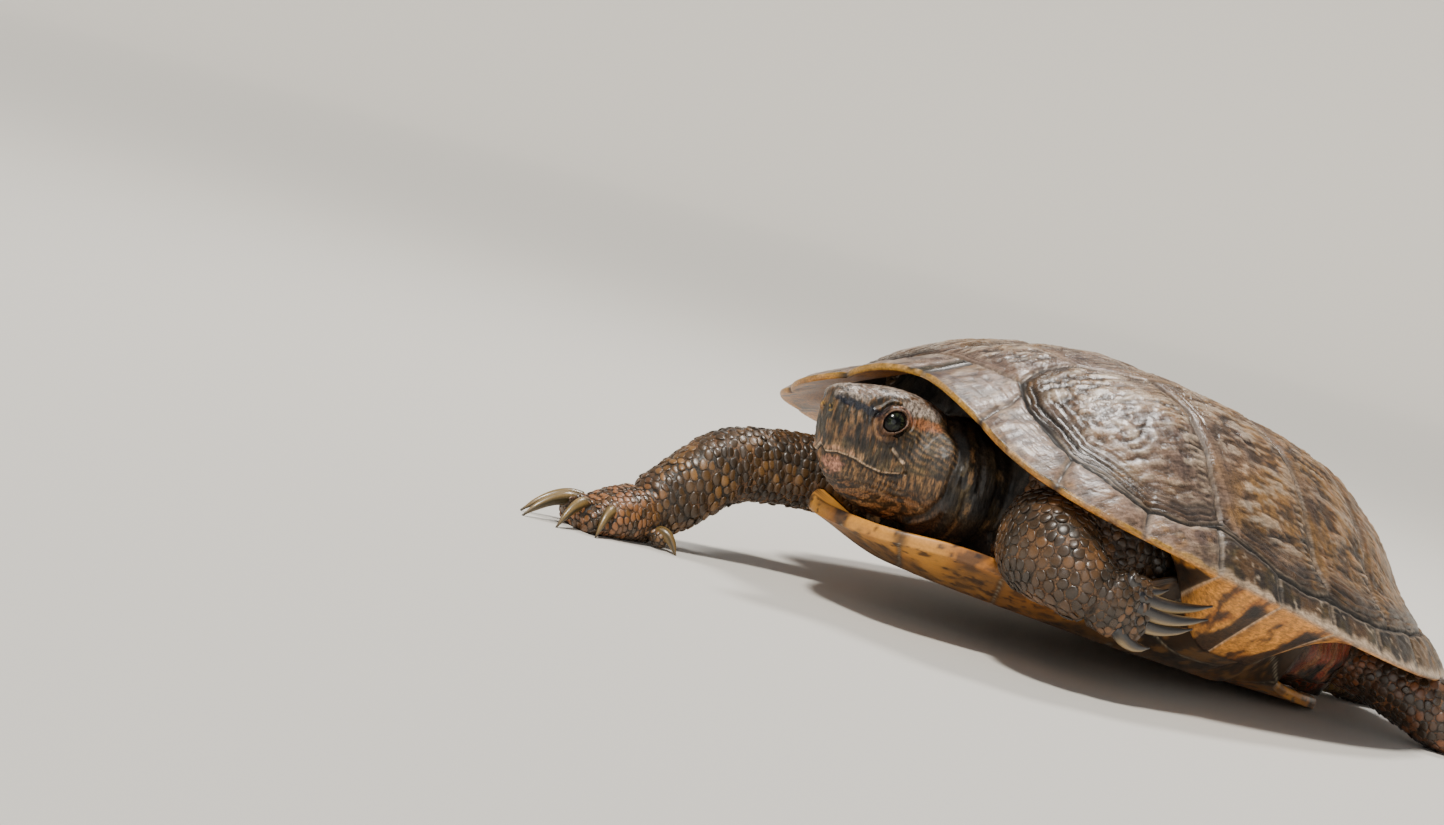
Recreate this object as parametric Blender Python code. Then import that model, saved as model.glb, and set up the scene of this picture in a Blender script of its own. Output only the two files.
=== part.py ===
"""Red-eared slider turtle, adult male, as a still life-size model.

The turtle is drawn in its own body frame, in millimetres: x to its left, y to its rear, z up, with the flat of
the plastron at z = 0.  The body is then pitched nose-up about the line where the rear of the plastron meets the
floor, every vertex that would fall below the floor is laid on it, and the whole is put in metres.
"""
import math

import bmesh
import bpy
import numpy as np

MM = 0.001

# Stance
PITCH = math.radians(5.4)
PIVOT_Y = 94.0

# Room between neighbouring pieces
GAP = 0.35

# Carapace plan: a squarish front and a rounder rear, both superellipses
HALF_WIDTH = 80.9
WIDEST_Y = 27.5
FRONT_REACH = 94.0
REAR_REACH = 114.0
FRONT_POWERS = (2.51, 4.34)
REAR_POWERS = (2.12, 2.13)
MARGINAL_LENGTHS = (23, 26, 24, 22.5, 22, 22, 23, 25.5, 25.5, 25, 24, 21.5)
NUCHAL_HALF_WIDTH = 3.0

# Carapace height
TOP_HEIGHT = 72.3
APEX_Y = 13.5
AXIS = np.array((0.0, APEX_Y))
RIM_HEIGHT = 27.0
RIM_FALL = 0.095
NUCHAL_RISE = 17.6
NUCHAL_SPREAD = 39.5
REAR_RISE = 14.0
REAR_SPREAD = 3.0
DOME_RHO = (0.0, 0.25, 0.5, 0.7, 0.83, 0.92, 1.0)
DOME_FRONT = (1.0, 0.963, 0.792, 0.540, 0.280, 0.130, 0.0)
DOME_SIDE = (1.0, 0.985, 0.866, 0.592, 0.315, 0.200, 0.0)
DOME_REAR = (1.0, 0.980, 0.900, 0.650, 0.320, 0.135, 0.0)
SERRATION = 0.016

# Shell walls: the marginals turn in under the rim as far as the inset, given as a share of the rim's reach
SHELL_WALL = 3.4
RIM_EDGE = 1.8
RIM_UNDERCUT = 0.995
MARGINAL_CROWN = 0.25
LIP = 1.0
FREE_INSET = 0.84
BRIDGE_INSET = 0.765
BRIDGE_HEIGHT = 8.0
POCKET_RHO = 0.80
POCKET_RHO_AT_BRIDGE = 0.88

COLUMNS_PER_MARGINAL = 3
OUTER_RHO = (0.24, 0.44, 0.60, 0.73, 0.83, 0.92, 1.0)
INNER_RHO = (0.3, 0.56, 0.74)

COLOURS = {
    "carapace": ((0.20, 0.155, 0.115), 0.35),
    "plastron": ((0.62, 0.38, 0.10), 0.40),
    "skin": ((0.075, 0.055, 0.038), 0.45),
    "head": ((0.085, 0.062, 0.042), 0.40),
    "eye": ((0.01, 0.01, 0.014), 0.08),
    "claw": ((0.12, 0.10, 0.06), 0.30),
}


# ---------------------------------------------------------------- small maths

def smoothstep(low, high, value):
    t = np.clip((np.asarray(value, float) - low) / (high - low), 0.0, 1.0)
    return t * t * (3.0 - 2.0 * t)


def monotone(knots, values, at):
    """A smooth curve through the values that never overshoots them."""
    x = np.asarray(knots, float)
    y = np.asarray(values, float)
    step = np.diff(x)
    slope = np.diff(y) / step
    inner = np.where(slope[1:] * slope[:-1] > 0.0,
                     2.0 * slope[1:] * slope[:-1] / np.where(slope[1:] + slope[:-1] == 0.0, 1.0,
                                                             slope[1:] + slope[:-1]), 0.0)
    tangent = np.concatenate(([slope[0] if x[0] != 0.0 else 0.0], inner, [slope[-1]]))
    at = np.clip(np.asarray(at, float), x[0], x[-1])
    i = np.clip(np.searchsorted(x, at, side="right") - 1, 0, len(x) - 2)
    t = (at - x[i]) / step[i]
    return ((1 + 2 * t) * (1 - t) ** 2 * y[i] + t * (1 - t) ** 2 * step[i] * tangent[i]
            + t * t * (3 - 2 * t) * y[i + 1] + t * t * (t - 1) * step[i] * tangent[i + 1])


def spline(stations, count):
    """Rows of numbers on a Catmull-Rom curve through the stations."""
    rows = np.asarray(stations, float)
    padded = np.vstack((2 * rows[0] - rows[1], rows, 2 * rows[-1] - rows[-2]))
    out = []
    for place in np.linspace(0.0, len(rows) - 1.0, count):
        i = min(int(place), len(rows) - 2)
        t = place - i
        a, b, c, d = padded[i:i + 4]
        out.append(0.5 * (2 * b + (c - a) * t + (2 * a - 5 * b + 4 * c - d) * t ** 2
                          + (3 * b - a - 3 * c + d) * t ** 3))
    return np.array(out)


def unit(vector):
    vector = np.asarray(vector, float)
    return vector / np.linalg.norm(vector)


# ---------------------------------------------------------------- shell surfaces

def outline_table():
    t = np.linspace(0.0, math.pi, 1601)
    cos, sin = np.cos(t), np.sin(t)
    front = cos > 0.0
    y = np.where(front, -FRONT_REACH * np.abs(cos) ** (2 / FRONT_POWERS[0]),
                 REAR_REACH * np.abs(cos) ** (2 / REAR_POWERS[0])) + WIDEST_Y
    x = HALF_WIDTH * np.where(front, np.abs(sin) ** (2 / FRONT_POWERS[1]), np.abs(sin) ** (2 / REAR_POWERS[1]))
    arc = np.concatenate(([0.0], np.cumsum(np.hypot(np.diff(x), np.diff(y)))))
    lengths = np.cumsum(MARGINAL_LENGTHS)
    seams = NUCHAL_HALF_WIDTH + lengths * (arc[-1] - NUCHAL_HALF_WIDTH) / lengths[-1]
    return x, y, arc, np.concatenate(([0.0], seams))


OUTLINE = outline_table()


def rim(m):
    """The rim at marginal position m: 0 is the nuchal's middle, 1 to 12 the rear seam of each marginal."""
    x, y, arc, seams = OUTLINE
    along = np.interp(m, np.arange(13), seams)
    rim_x = np.interp(along, arc, x)
    rim_y = np.interp(along, arc, y)
    rim_z = (RIM_HEIGHT - RIM_FALL * rim_y + NUCHAL_RISE * np.exp(-(along / NUCHAL_SPREAD) ** 2)
             + REAR_RISE * np.exp(-((np.asarray(m) - 12.0) / REAR_SPREAD) ** 2))
    return rim_x, rim_y, rim_z


def serration(m):
    """How far the rim stands out between the seams of the rear marginals."""
    part = np.asarray(m, float) % 1.0
    return SERRATION * smoothstep(6.5, 9.5, m) * (np.sin(math.pi * part) ** 0.7 - 0.5)


def dome(m, rho, side=1.0):
    """The carapace's outer surface, from its top at rho 0 to its rim at rho 1."""
    m = np.asarray(m, float)
    rho = np.asarray(rho, float)
    rim_x, rim_y, rim_z = rim(m)
    front = 1.0 - smoothstep(0.5, 4.5, m)
    rear = smoothstep(7.5, 11.5, m)
    height = (front * monotone(DOME_RHO, DOME_FRONT, rho) + rear * monotone(DOME_RHO, DOME_REAR, rho)
              + (1.0 - front - rear) * monotone(DOME_RHO, DOME_SIDE, rho))
    reach = rho * (1.0 + serration(m) * smoothstep(0.8, 1.0, rho))
    x = side * rim_x * reach
    y = APEX_Y + (rim_y - APEX_Y) * reach
    z = rim_z + (TOP_HEIGHT - rim_z) * height
    return np.stack(np.broadcast_arrays(x, y, z), -1)


def dome_normal(m, rho):
    m = min(max(m, 0.02), 11.98)
    step = 0.01
    across = dome(m + step, rho) - dome(m - step, rho)
    outward = dome(m, rho + step) - dome(m, rho - step)
    normal = unit(np.cross(outward, across))
    return normal if normal[2] > 0.0 else -normal


def under_dome(m, rho, depth, side):
    """A point of the dome moved inward along its normal."""
    point = dome(m, rho) - depth * dome_normal(m, rho)
    point[0] = side * (0.0 if m in (0.0, 12.0) else point[0])
    return point


def bridge_share(m):
    """1 where the plastron's bridge meets the marginals, 0 where the rim is free."""
    y = rim(m)[1]
    return smoothstep(-38.0, 4.0, y) * (1.0 - smoothstep(26.0, 56.0, y))


def lip_point(m, side):
    """The inner end of the marginals' underside: the free lip, or the seam with the bridge."""
    share = bridge_share(m)
    inset = FREE_INSET + (BRIDGE_INSET - FREE_INSET) * share
    point = dome(m, inset, side)
    free = point[2] - SHELL_WALL - LIP
    point[2] = free + (BRIDGE_HEIGHT - free) * share
    return point


def step_height(m):
    """The height of the wall inside the lip, up to the shell's inner surface."""
    return LIP + (SHELL_WALL - LIP) * bridge_share(m)


# ---------------------------------------------------------------- plastron

PLASTRON_WALL = 3.8
ANAL_THINNING = 0.8
SEAM_ROOM = 2.0 * GAP
SEAM_THINNING = 0.5

# Left edge of the front and rear lobes: x, y and height of the lower side
GULAR_EDGE = ((0.0, -73.0, 6.0), (12.0, -72.5, 6.2), (20.0, -68.5, 7.0), (27.0, -61.5, 8.2), (33.0, -53.0, 8.6),
              (37.5, -44.0, 8.0), (42.0, -35.5, 7.0), (48.0, -28.5, 8.0))
ANAL_EDGE = ((53.0, 49.0, 5.5), (46.5, 56.0, 3.2), (44.0, 65.0, 1.8), (41.0, 78.0, 1.1), (34.5, 91.0, 0.6),
             (25.5, 103.0, 0.2), (15.5, 111.0, 0.5), (7.0, 109.0, 0.4), (0.0, 102.0, 0.1))
BRIDGE_MARGINALS = (4.0, 7.0)
BRIDGE_POINTS = 10
PLASTRON_FLAT = 0.65
PLASTRON_RINGS = (0.34, 0.70, 0.82, 0.92, 1.0)


def bowl(s):
    """How the plastron rises from its flat to its edge."""
    return smoothstep(PLASTRON_FLAT, 1.12, s) / smoothstep(PLASTRON_FLAT, 1.12, 1.0)


def plastron_edge():
    """The plastron's left edge, front to rear: x, y, height of its lower side, and thickness."""
    first, last = BRIDGE_MARGINALS
    bridge = []
    for m in np.linspace(first, last, BRIDGE_POINTS):
        x, y, z = lip_point(m, 1.0)
        bridge.append((x - SEAM_ROOM, y, z, step_height(m) - SEAM_THINNING))
    front = [(*point, PLASTRON_WALL) for point in GULAR_EDGE]
    rear = [(*point, PLASTRON_WALL - ANAL_THINNING) for point in ANAL_EDGE]
    return np.array(front + bridge + rear)


def edge_at(edge, direction):
    """The plastron's edge in a direction from the shell's axis, as a radius and a height."""
    angle = np.arctan2(edge[:, 0], -(edge[:, 1] - APEX_Y))
    radius = np.hypot(edge[:, 0], edge[:, 1] - APEX_Y)
    return np.interp(direction, angle, radius), np.interp(direction, angle, edge[:, 2])


# ---------------------------------------------------------------- meshes

def tidy_faces(bm):
    """Turns faces outward and makes them triangles, so that a cut sees the same surface as a render."""
    bmesh.ops.recalc_face_normals(bm, faces=bm.faces)
    bmesh.ops.triangulate(bm, faces=bm.faces, quad_method="SHORT_EDGE")
    bm.normal_update()


def ring_mesh(first, rings, last):
    """A closed mesh: a fan from the first point, bands between the rings, and a fan to the last point."""
    bm = bmesh.new()
    rows = [[bm.verts.new(point) for point in ring] for ring in rings]
    count = len(rows[0])
    start = bm.verts.new(first)
    end = bm.verts.new(last)
    for i in range(count):
        j = (i + 1) % count
        bm.faces.new((start, rows[0][j], rows[0][i]))
        bm.faces.new((end, rows[-1][i], rows[-1][j]))
        for upper, lower in zip(rows, rows[1:]):
            bm.faces.new((upper[i], upper[j], lower[j], lower[i]))
    tidy_faces(bm)
    return bm


def superellipse(count, power):
    """Points around a unit superellipse: across and up."""
    angle = (np.arange(count) + 0.5) * 2.0 * math.pi / count
    cos, sin = np.cos(angle), np.sin(angle)
    return np.sign(cos) * np.abs(cos) ** (2 / power), np.sign(sin) * np.abs(sin) ** (2 / power)


END_CAP = 0.35
UP = (0.0, 0.0, 1.0)


def limb_mesh(stations, rings, sides, power=2.3):
    """A loft along stations of x, y, z, half width and half height, with round ends."""
    rows = spline(stations, rings)
    centres = rows[:, :3]
    tangents = np.gradient(centres, axis=0)
    across, rise = superellipse(sides, power)
    loops = []
    for centre, tangent, half_width, half_height in zip(centres, tangents, rows[:, 3], rows[:, 4]):
        forward = unit(tangent)
        side = unit(np.cross(UP, forward))
        top = np.cross(forward, side)
        loops.append(centre + np.outer(across * half_width, side) + np.outer(rise * half_height, top))
    first = centres[0] - unit(tangents[0]) * rows[0, 4] * END_CAP
    last = centres[-1] + unit(tangents[-1]) * rows[-1, 4] * END_CAP
    return ring_mesh(first, loops, last)


def columns():
    """Marginal position and side of each column around the shell."""
    steps = 12 * COLUMNS_PER_MARGINAL
    left = [(k / COLUMNS_PER_MARGINAL, 1.0) for k in range(steps + 1)]
    right = [(k / COLUMNS_PER_MARGINAL, -1.0) for k in range(steps - 1, 0, -1)]
    return left + right


def carapace_mesh():
    around = columns()
    rings = [[dome(m, rho, side) for m, side in around] for rho in OUTER_RHO]
    edge = [dome(m, RIM_UNDERCUT, side) - (0, 0, RIM_EDGE) for m, side in around]
    lip = [lip_point(m, side) for m, side in around]
    middle = [0.5 * (outer + inner) + (0, 0, MARGINAL_CROWN) for outer, inner in zip(edge, lip)]
    step = [inner + (0, 0, step_height(m)) for inner, (m, side) in zip(lip, around)]
    rings += [edge, middle, lip, step]
    wider = POCKET_RHO_AT_BRIDGE - POCKET_RHO
    rings.append([under_dome(m, POCKET_RHO + wider * bridge_share(m), SHELL_WALL, side) for m, side in around])
    for rho in reversed(INNER_RHO):
        rings.append([under_dome(m, rho, SHELL_WALL, side) for m, side in around])
    return ring_mesh((*AXIS, TOP_HEIGHT), rings, (*AXIS, TOP_HEIGHT - SHELL_WALL))


def plastron_mesh():
    left = plastron_edge()
    right = left[-2:0:-1] * (-1, 1, 1, 1)
    edge = np.vstack((left, right))
    lower = []
    upper = []
    for s in PLASTRON_RINGS:
        plan = AXIS + (edge[:, :2] - AXIS) * s
        height = edge[:, 2] * bowl(s)
        wall = PLASTRON_WALL + (edge[:, 3] - PLASTRON_WALL) * bowl(s)
        lower.append(np.column_stack((plan, height)))
        upper.append(np.column_stack((plan, height + wall)))
    return ring_mesh((*AXIS, 0.0), lower + upper[::-1], (*AXIS, PLASTRON_WALL))


# The trunk's wall, behind the limb pockets: its reach under the dome, and how far in from the lip it stands
TRUNK_RHO = 0.785
TRUNK_RHO_AT_BRIDGE = 0.835
TRUNK_ROOM = 0.5
TRUNK_ROOM_AT_BRIDGE = 3.3
POCKET_INSET = 2.2
POCKET_DROP = 0.9
PLASTRON_INSET = 2.5
TRUNK_FOOT = 0.72
TRUNK_REST = 2.0


def trunk_mesh():
    """The flesh that fills the shell, up to the walls of the limb pockets."""
    around = columns()[::2]
    edge = plastron_edge()
    depth = SHELL_WALL + GAP
    rings = [[under_dome(m, rho, depth, side) for m, side in around] for rho in INNER_RHO]
    shoulder = []
    high = []
    low = []
    foot = []
    for m, side in around:
        share = bridge_share(m)
        rho = TRUNK_RHO + (TRUNK_RHO_AT_BRIDGE - TRUNK_RHO) * share
        room = TRUNK_ROOM + (TRUNK_ROOM_AT_BRIDGE - TRUNK_ROOM) * share
        shoulder.append(under_dome(m, rho, depth + room, side))

        lip = lip_point(m, side)
        offset = lip[:2] - AXIS
        reach = np.linalg.norm(offset)
        ray = offset / reach
        radius, height = edge_at(edge, math.atan2(abs(ray[0]), -ray[1]))
        wall = reach - POCKET_INSET
        base = min(wall, radius - PLASTRON_INSET)
        high.append((*(AXIS + ray * wall), lip[2] + step_height(m) - POCKET_DROP))
        for ring, out in ((low, base), (foot, TRUNK_FOOT * base)):
            ring.append((*(AXIS + ray * out), height * bowl(out / radius) + PLASTRON_WALL + TRUNK_REST))
    rings += [shoulder, high, low, foot]
    top = (*AXIS, TOP_HEIGHT - depth)
    return ring_mesh(top, rings, (*AXIS, PLASTRON_WALL + TRUNK_REST))


# ---------------------------------------------------------------- head

SNOUT = np.array((-4.9, -82.9, 23.4))
HEAD_FORWARD = unit((-0.172, -0.975, -0.143))
HEAD_LEFT = unit(np.cross(-HEAD_FORWARD, (-0.091, -0.117, 0.989)))
HEAD_UP = np.cross(HEAD_FORWARD, HEAD_LEFT)
HEAD_SCALE = 1.049

# Distance behind the snout, top, bottom and half width of the head, which is turned to the turtle's right
HEAD_STATIONS = (
    (-1.8, 12.4, 3.2, 3.6),
    (-1.0, 15.4, -3.0, 4.8),
    (1.6, 16.6, -6.4, 5.9),
    (5.0, 17.1, -9.3, 7.4),
    (10.0, 17.6, -11.9, 9.1),
    (15.0, 17.8, -13.6, 10.4),
    (20.0, 17.4, -14.7, 11.6),
    (25.0, 16.2, -15.2, 12.9),
    (30.0, 14.0, -15.4, 13.6),
    (35.0, 10.6, -14.2, 13.2),
    (40.0, 8.2, -11.5, 11.6),
)
HEAD_SIDES = 18
HEAD_POWER = 2.5
JAW_TAPER = 0.10
NOSE_TIP = (-2.0, 0.0, 6.6)
NAPE = (41.5, 0.0, -1.2)

# Behind the snout, out to the side, and up
EYE_CENTRE = (12.5, 8.2, 9.2)
EYE_RADIUS = 3.9


def head_point(back, across, up):
    return (SNOUT - HEAD_FORWARD * back * HEAD_SCALE + HEAD_LEFT * across * HEAD_SCALE
            + HEAD_UP * up * HEAD_SCALE)


def head_mesh():
    across, rise = superellipse(HEAD_SIDES, HEAD_POWER)
    loops = []
    for back, top, bottom, half_width in HEAD_STATIONS:
        middle = 0.5 * (top + bottom)
        half = 0.5 * (top - bottom)
        loops.append([head_point(back, a * half_width * (1.0 - JAW_TAPER * max(-r, 0.0)), middle + r * half)
                      for a, r in zip(across, rise)])
    return ring_mesh(head_point(*NOSE_TIP), loops, head_point(*NAPE))


def eye_mesh(side):
    bm = bmesh.new()
    bmesh.ops.create_uvsphere(bm, u_segments=14, v_segments=8, radius=EYE_RADIUS)
    back, across, up = EYE_CENTRE
    bmesh.ops.translate(bm, verts=bm.verts, vec=head_point(back, side * across, up))
    return bm


# ---------------------------------------------------------------- limbs

# Each row: x, y, z, half width, half height
NECK = ((2.0, -18.0, 28.0, 17.0, 14.0), (3.5, -32.0, 27.5, 20.0, 16.0), (4.5, -44.0, 26.5, 21.0, 17.0),
        (2.5, -52.5, 25.5, 19.0, 16.5), (0.0, -57.0, 25.0, 15.5, 14.0))
TAIL = ((0.0, 94.0, 17.0, 11.5, 8.5), (0.5, 111.0, 14.5, 10.5, 8.5), (2.5, 127.0, 12.0, 8.5, 7.2),
        (6.0, 143.0, 9.6, 6.0, 5.2), (10.5, 158.0, 9.0, 3.8, 3.4), (16.0, 171.0, 8.8, 1.9, 1.7))
LIMBS = {
    "foreleg_right": ((-30.0, -34.0, 17.0, 11.0, 10.5), (-39.0, -49.0, 15.5, 10.5, 10.5),
                      (-45.0, -63.0, 13.0, 10.0, 10.2), (-48.5, -76.0, 8.5, 9.8, 10.2),
                      (-51.0, -86.0, -2.5, 9.0, 9.6), (-52.0, -91.5, -8.0, 8.8, 8.8)),
    "foreleg_left": ((32.0, -30.0, 21.0, 11.0, 11.0), (41.0, -42.0, 21.0, 12.5, 13.0),
                     (48.2, -48.0, 20.0, 12.2, 14.0), (55.0, -49.0, 17.2, 10.6, 12.2),
                     (60.5, -46.5, 14.6, 8.6, 9.8), (63.6, -43.0, 13.2, 7.2, 8.6)),
    "hindleg_left": ((27.0, 82.0, 19.0, 11.0, 7.8), (41.0, 94.0, 17.5, 10.6, 8.6),
                     (53.5, 104.0, 14.8, 10.8, 9.8), (61.0, 111.0, 10.5, 9.6, 8.6),
                     (65.0, 117.0, 7.4, 8.4, 6.4)),
    "hindleg_right": ((-27.0, 80.0, 19.0, 11.0, 7.8), (-41.0, 89.5, 17.5, 10.6, 8.6),
                      (-54.0, 97.0, 14.5, 10.8, 9.8), (-64.0, 103.0, 10.5, 9.6, 8.6),
                      (-70.5, 107.5, 7.2, 8.4, 6.4)),
}
FEET = {
    "forefoot_right": ((-52.3, -94.5, -10.2, 8.8, 8.0), (-53.0, -101.0, -12.3, 10.0, 7.2),
                       (-54.0, -107.5, -14.6, 10.6, 5.8), (-54.6, -112.5, -16.4, 10.2, 4.4)),
    "forefoot_left": ((65.0, -41.2, 12.8, 6.8, 8.2), (66.8, -38.2, 12.8, 5.6, 9.0),
                      (68.4, -35.2, 12.8, 4.6, 9.2), (69.4, -33.0, 13.0, 3.6, 8.8)),
    "hindfoot_left": ((66.6, 120.0, 6.2, 8.8, 5.8), (69.0, 126.0, 5.4, 11.5, 4.4),
                      (72.0, 133.5, 5.8, 14.5, 3.2), (74.6, 140.5, 6.4, 15.0, 2.2)),
    "hindfoot_right": ((-73.5, 109.6, 5.8, 8.8, 5.8), (-80.0, 113.6, 4.8, 11.5, 4.4),
                       (-88.0, 118.5, 4.6, 14.5, 3.2), (-95.0, 123.0, 4.8, 15.0, 2.2)),
}

# Claws: root and tip of each, thumb first.  The tip hooks down by the droop.
CLAWS = {
    "forefoot_right": (
        ((-43.8, -93.0, -14.8), (-37.5, -90.5, -17.6)),
        ((-46.5, -109.0, -13.6), (-42.5, -114.0, -19.4)),
        ((-51.0, -115.0, -13.8), (-48.0, -123.0, -20.4)),
        ((-56.5, -114.5, -13.6), (-57.5, -127.5, -20.8)),
        ((-61.5, -110.0, -13.0), (-65.0, -123.0, -20.2)),
    ),
    "forefoot_left": (
        ((69.0, -37.5, 19.4), (70.8, -26.0, 20.2)),
        ((70.2, -34.0, 16.6), (73.2, -11.0, 20.0)),
        ((70.6, -33.0, 13.8), (73.6, -11.5, 16.4)),
        ((70.2, -33.5, 10.8), (72.6, -14.5, 12.8)),
        ((69.4, -36.0, 6.8), (70.6, -25.0, 4.8)),
    ),
    "hindfoot_left": (
        ((64.2, 137.5, 6.2), (61.4, 146.5, 6.2)),
        ((69.8, 141.0, 6.8), (68.4, 151.5, 6.8)),
        ((76.2, 141.5, 6.8), (77.0, 152.5, 7.0)),
        ((82.4, 138.5, 6.6), (85.4, 147.5, 6.6)),
    ),
    "hindfoot_right": (
        ((-89.0, 128.0, 5.4), (-91.5, 136.5, 5.6)),
        ((-94.5, 126.0, 5.2), (-100.5, 133.5, 5.2)),
        ((-97.6, 120.5, 4.8), (-106.0, 125.0, 4.6)),
        ((-97.2, 114.0, 4.4), (-105.0, 115.5, 4.0)),
    ),
}
CLAW_RADIUS = {"forefoot_right": 1.55, "forefoot_left": 1.6, "hindfoot_left": 1.3, "hindfoot_right": 1.3}
CLAW_ARCH = 0.96
CLAW_SET_BACK = 1.6
CLAW_TAPER = 0.80
CLAW_NARROWING = 0.85
TOE_THICKNESS = 1.45
TOE_END = 0.8
LEG_LOFT = (9, 12)
FOOT_LOFT = (5, 12)
NECK_LOFT = (6, 16)
TAIL_LOFT = (9, 12)


def claw_mesh(root, tip, radius):
    """A claw that arches and tapers from its root, set back in the toe, to its tip."""
    root = np.array(root)
    tip = np.array(tip)
    back = unit(root - tip)
    stations = []
    for t in (0.0, 0.35, 0.7, 1.0):
        arch = CLAW_ARCH * 4.0 * t * (1.0 - t)
        size = radius * (1.0 - CLAW_TAPER * t ** 1.6)
        centre = root + (tip - root) * t + back * CLAW_SET_BACK * (1.0 - t)
        stations.append((*(centre + (0.0, 0.0, arch)), size * CLAW_NARROWING, size))
    return limb_mesh(stations, 5, 5, power=2.0)


def toe_mesh(root, foot_centre, radius):
    """A toe from inside the foot to just past its claw's root."""
    root = np.array(root)
    start = root + (np.array(foot_centre) - root) * 0.6
    end = root + unit(root - start) * TOE_END
    thick = radius * TOE_THICKNESS
    return limb_mesh([(*start, 1.25 * thick, 1.25 * thick), (*end, 1.15 * thick, 1.15 * thick)], 2, 6, power=2.1)


# ---------------------------------------------------------------- placing and joining

def to_world(bm):
    """Body frame to world: pitch, floor and scale."""
    cos, sin = math.cos(PITCH), math.sin(PITCH)
    for vert in bm.verts:
        x, y, z = vert.co
        y -= PIVOT_Y
        vert.co = (x * MM, (y * cos + z * sin) * MM, (z * cos - y * sin) * MM)


def lay_on_floor(bm):
    for vert in bm.verts:
        vert.co.z = max(vert.co.z, 0.0)


def make_object(name, bm, collection):
    mesh = bpy.data.meshes.new(name)
    bm.to_mesh(mesh)
    bm.free()
    obj = bpy.data.objects.new(name, mesh)
    collection.objects.link(obj)
    return obj


def hidden(name, bm, collection):
    obj = make_object(name, bm, collection)
    obj.hide_render = True
    obj.display_type = "WIRE"
    return obj


def cutter(name, bm, collection):
    """A solid for cutting its neighbours with, bigger by the gap than the piece it stands for."""
    to_world(bm)
    bm.normal_update()
    for vert, shift in [(vert, vert.normal * GAP * MM) for vert in bm.verts]:
        vert.co += shift
    return hidden(name, bm, collection)


def joiner(name, bm, collection):
    """A solid to be joined to another one."""
    to_world(bm)
    lay_on_floor(bm)
    return hidden(name, bm, collection)


def boolean(target, other, operation):
    modifier = target.modifiers.new(operation.title(), "BOOLEAN")
    modifier.operation = operation
    modifier.solver = "EXACT"
    modifier.use_self = operation == "UNION"
    modifier.object = other
    graph = bpy.context.evaluated_depsgraph_get()
    result = bpy.data.meshes.new_from_object(target.evaluated_get(graph))
    target.modifiers.clear()
    target.data = result
    keep_largest(target)


def keep_largest(obj):
    """Drops the crumbs that a cut leaves loose."""
    bm = bmesh.new()
    bm.from_mesh(obj.data)
    bmesh.ops.dissolve_degenerate(bm, dist=1e-6, edges=bm.edges)
    seen = set()
    islands = []
    for face in bm.faces:
        if face in seen:
            continue
        island = []
        stack = [face]
        seen.add(face)
        while stack:
            here = stack.pop()
            island.append(here)
            for edge in here.edges:
                for near in edge.link_faces:
                    if near not in seen:
                        seen.add(near)
                        stack.append(near)
        islands.append(island)
    islands.sort(key=lambda faces: sum(face.calc_area() for face in faces))
    crumbs = [face for island in islands[:-1] for face in island]
    bmesh.ops.delete(bm, geom=crumbs, context="FACES")
    bm.to_mesh(obj.data)
    bm.free()


def material(name):
    colour, roughness = COLOURS[name]
    made = bpy.data.materials.new(name)
    made.use_nodes = True
    shader = made.node_tree.nodes["Principled BSDF"]
    shader.inputs["Base Color"].default_value = (*colour, 1.0)
    shader.inputs["Roughness"].default_value = roughness
    shader.inputs["Metallic"].default_value = 0.0
    return made


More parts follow.
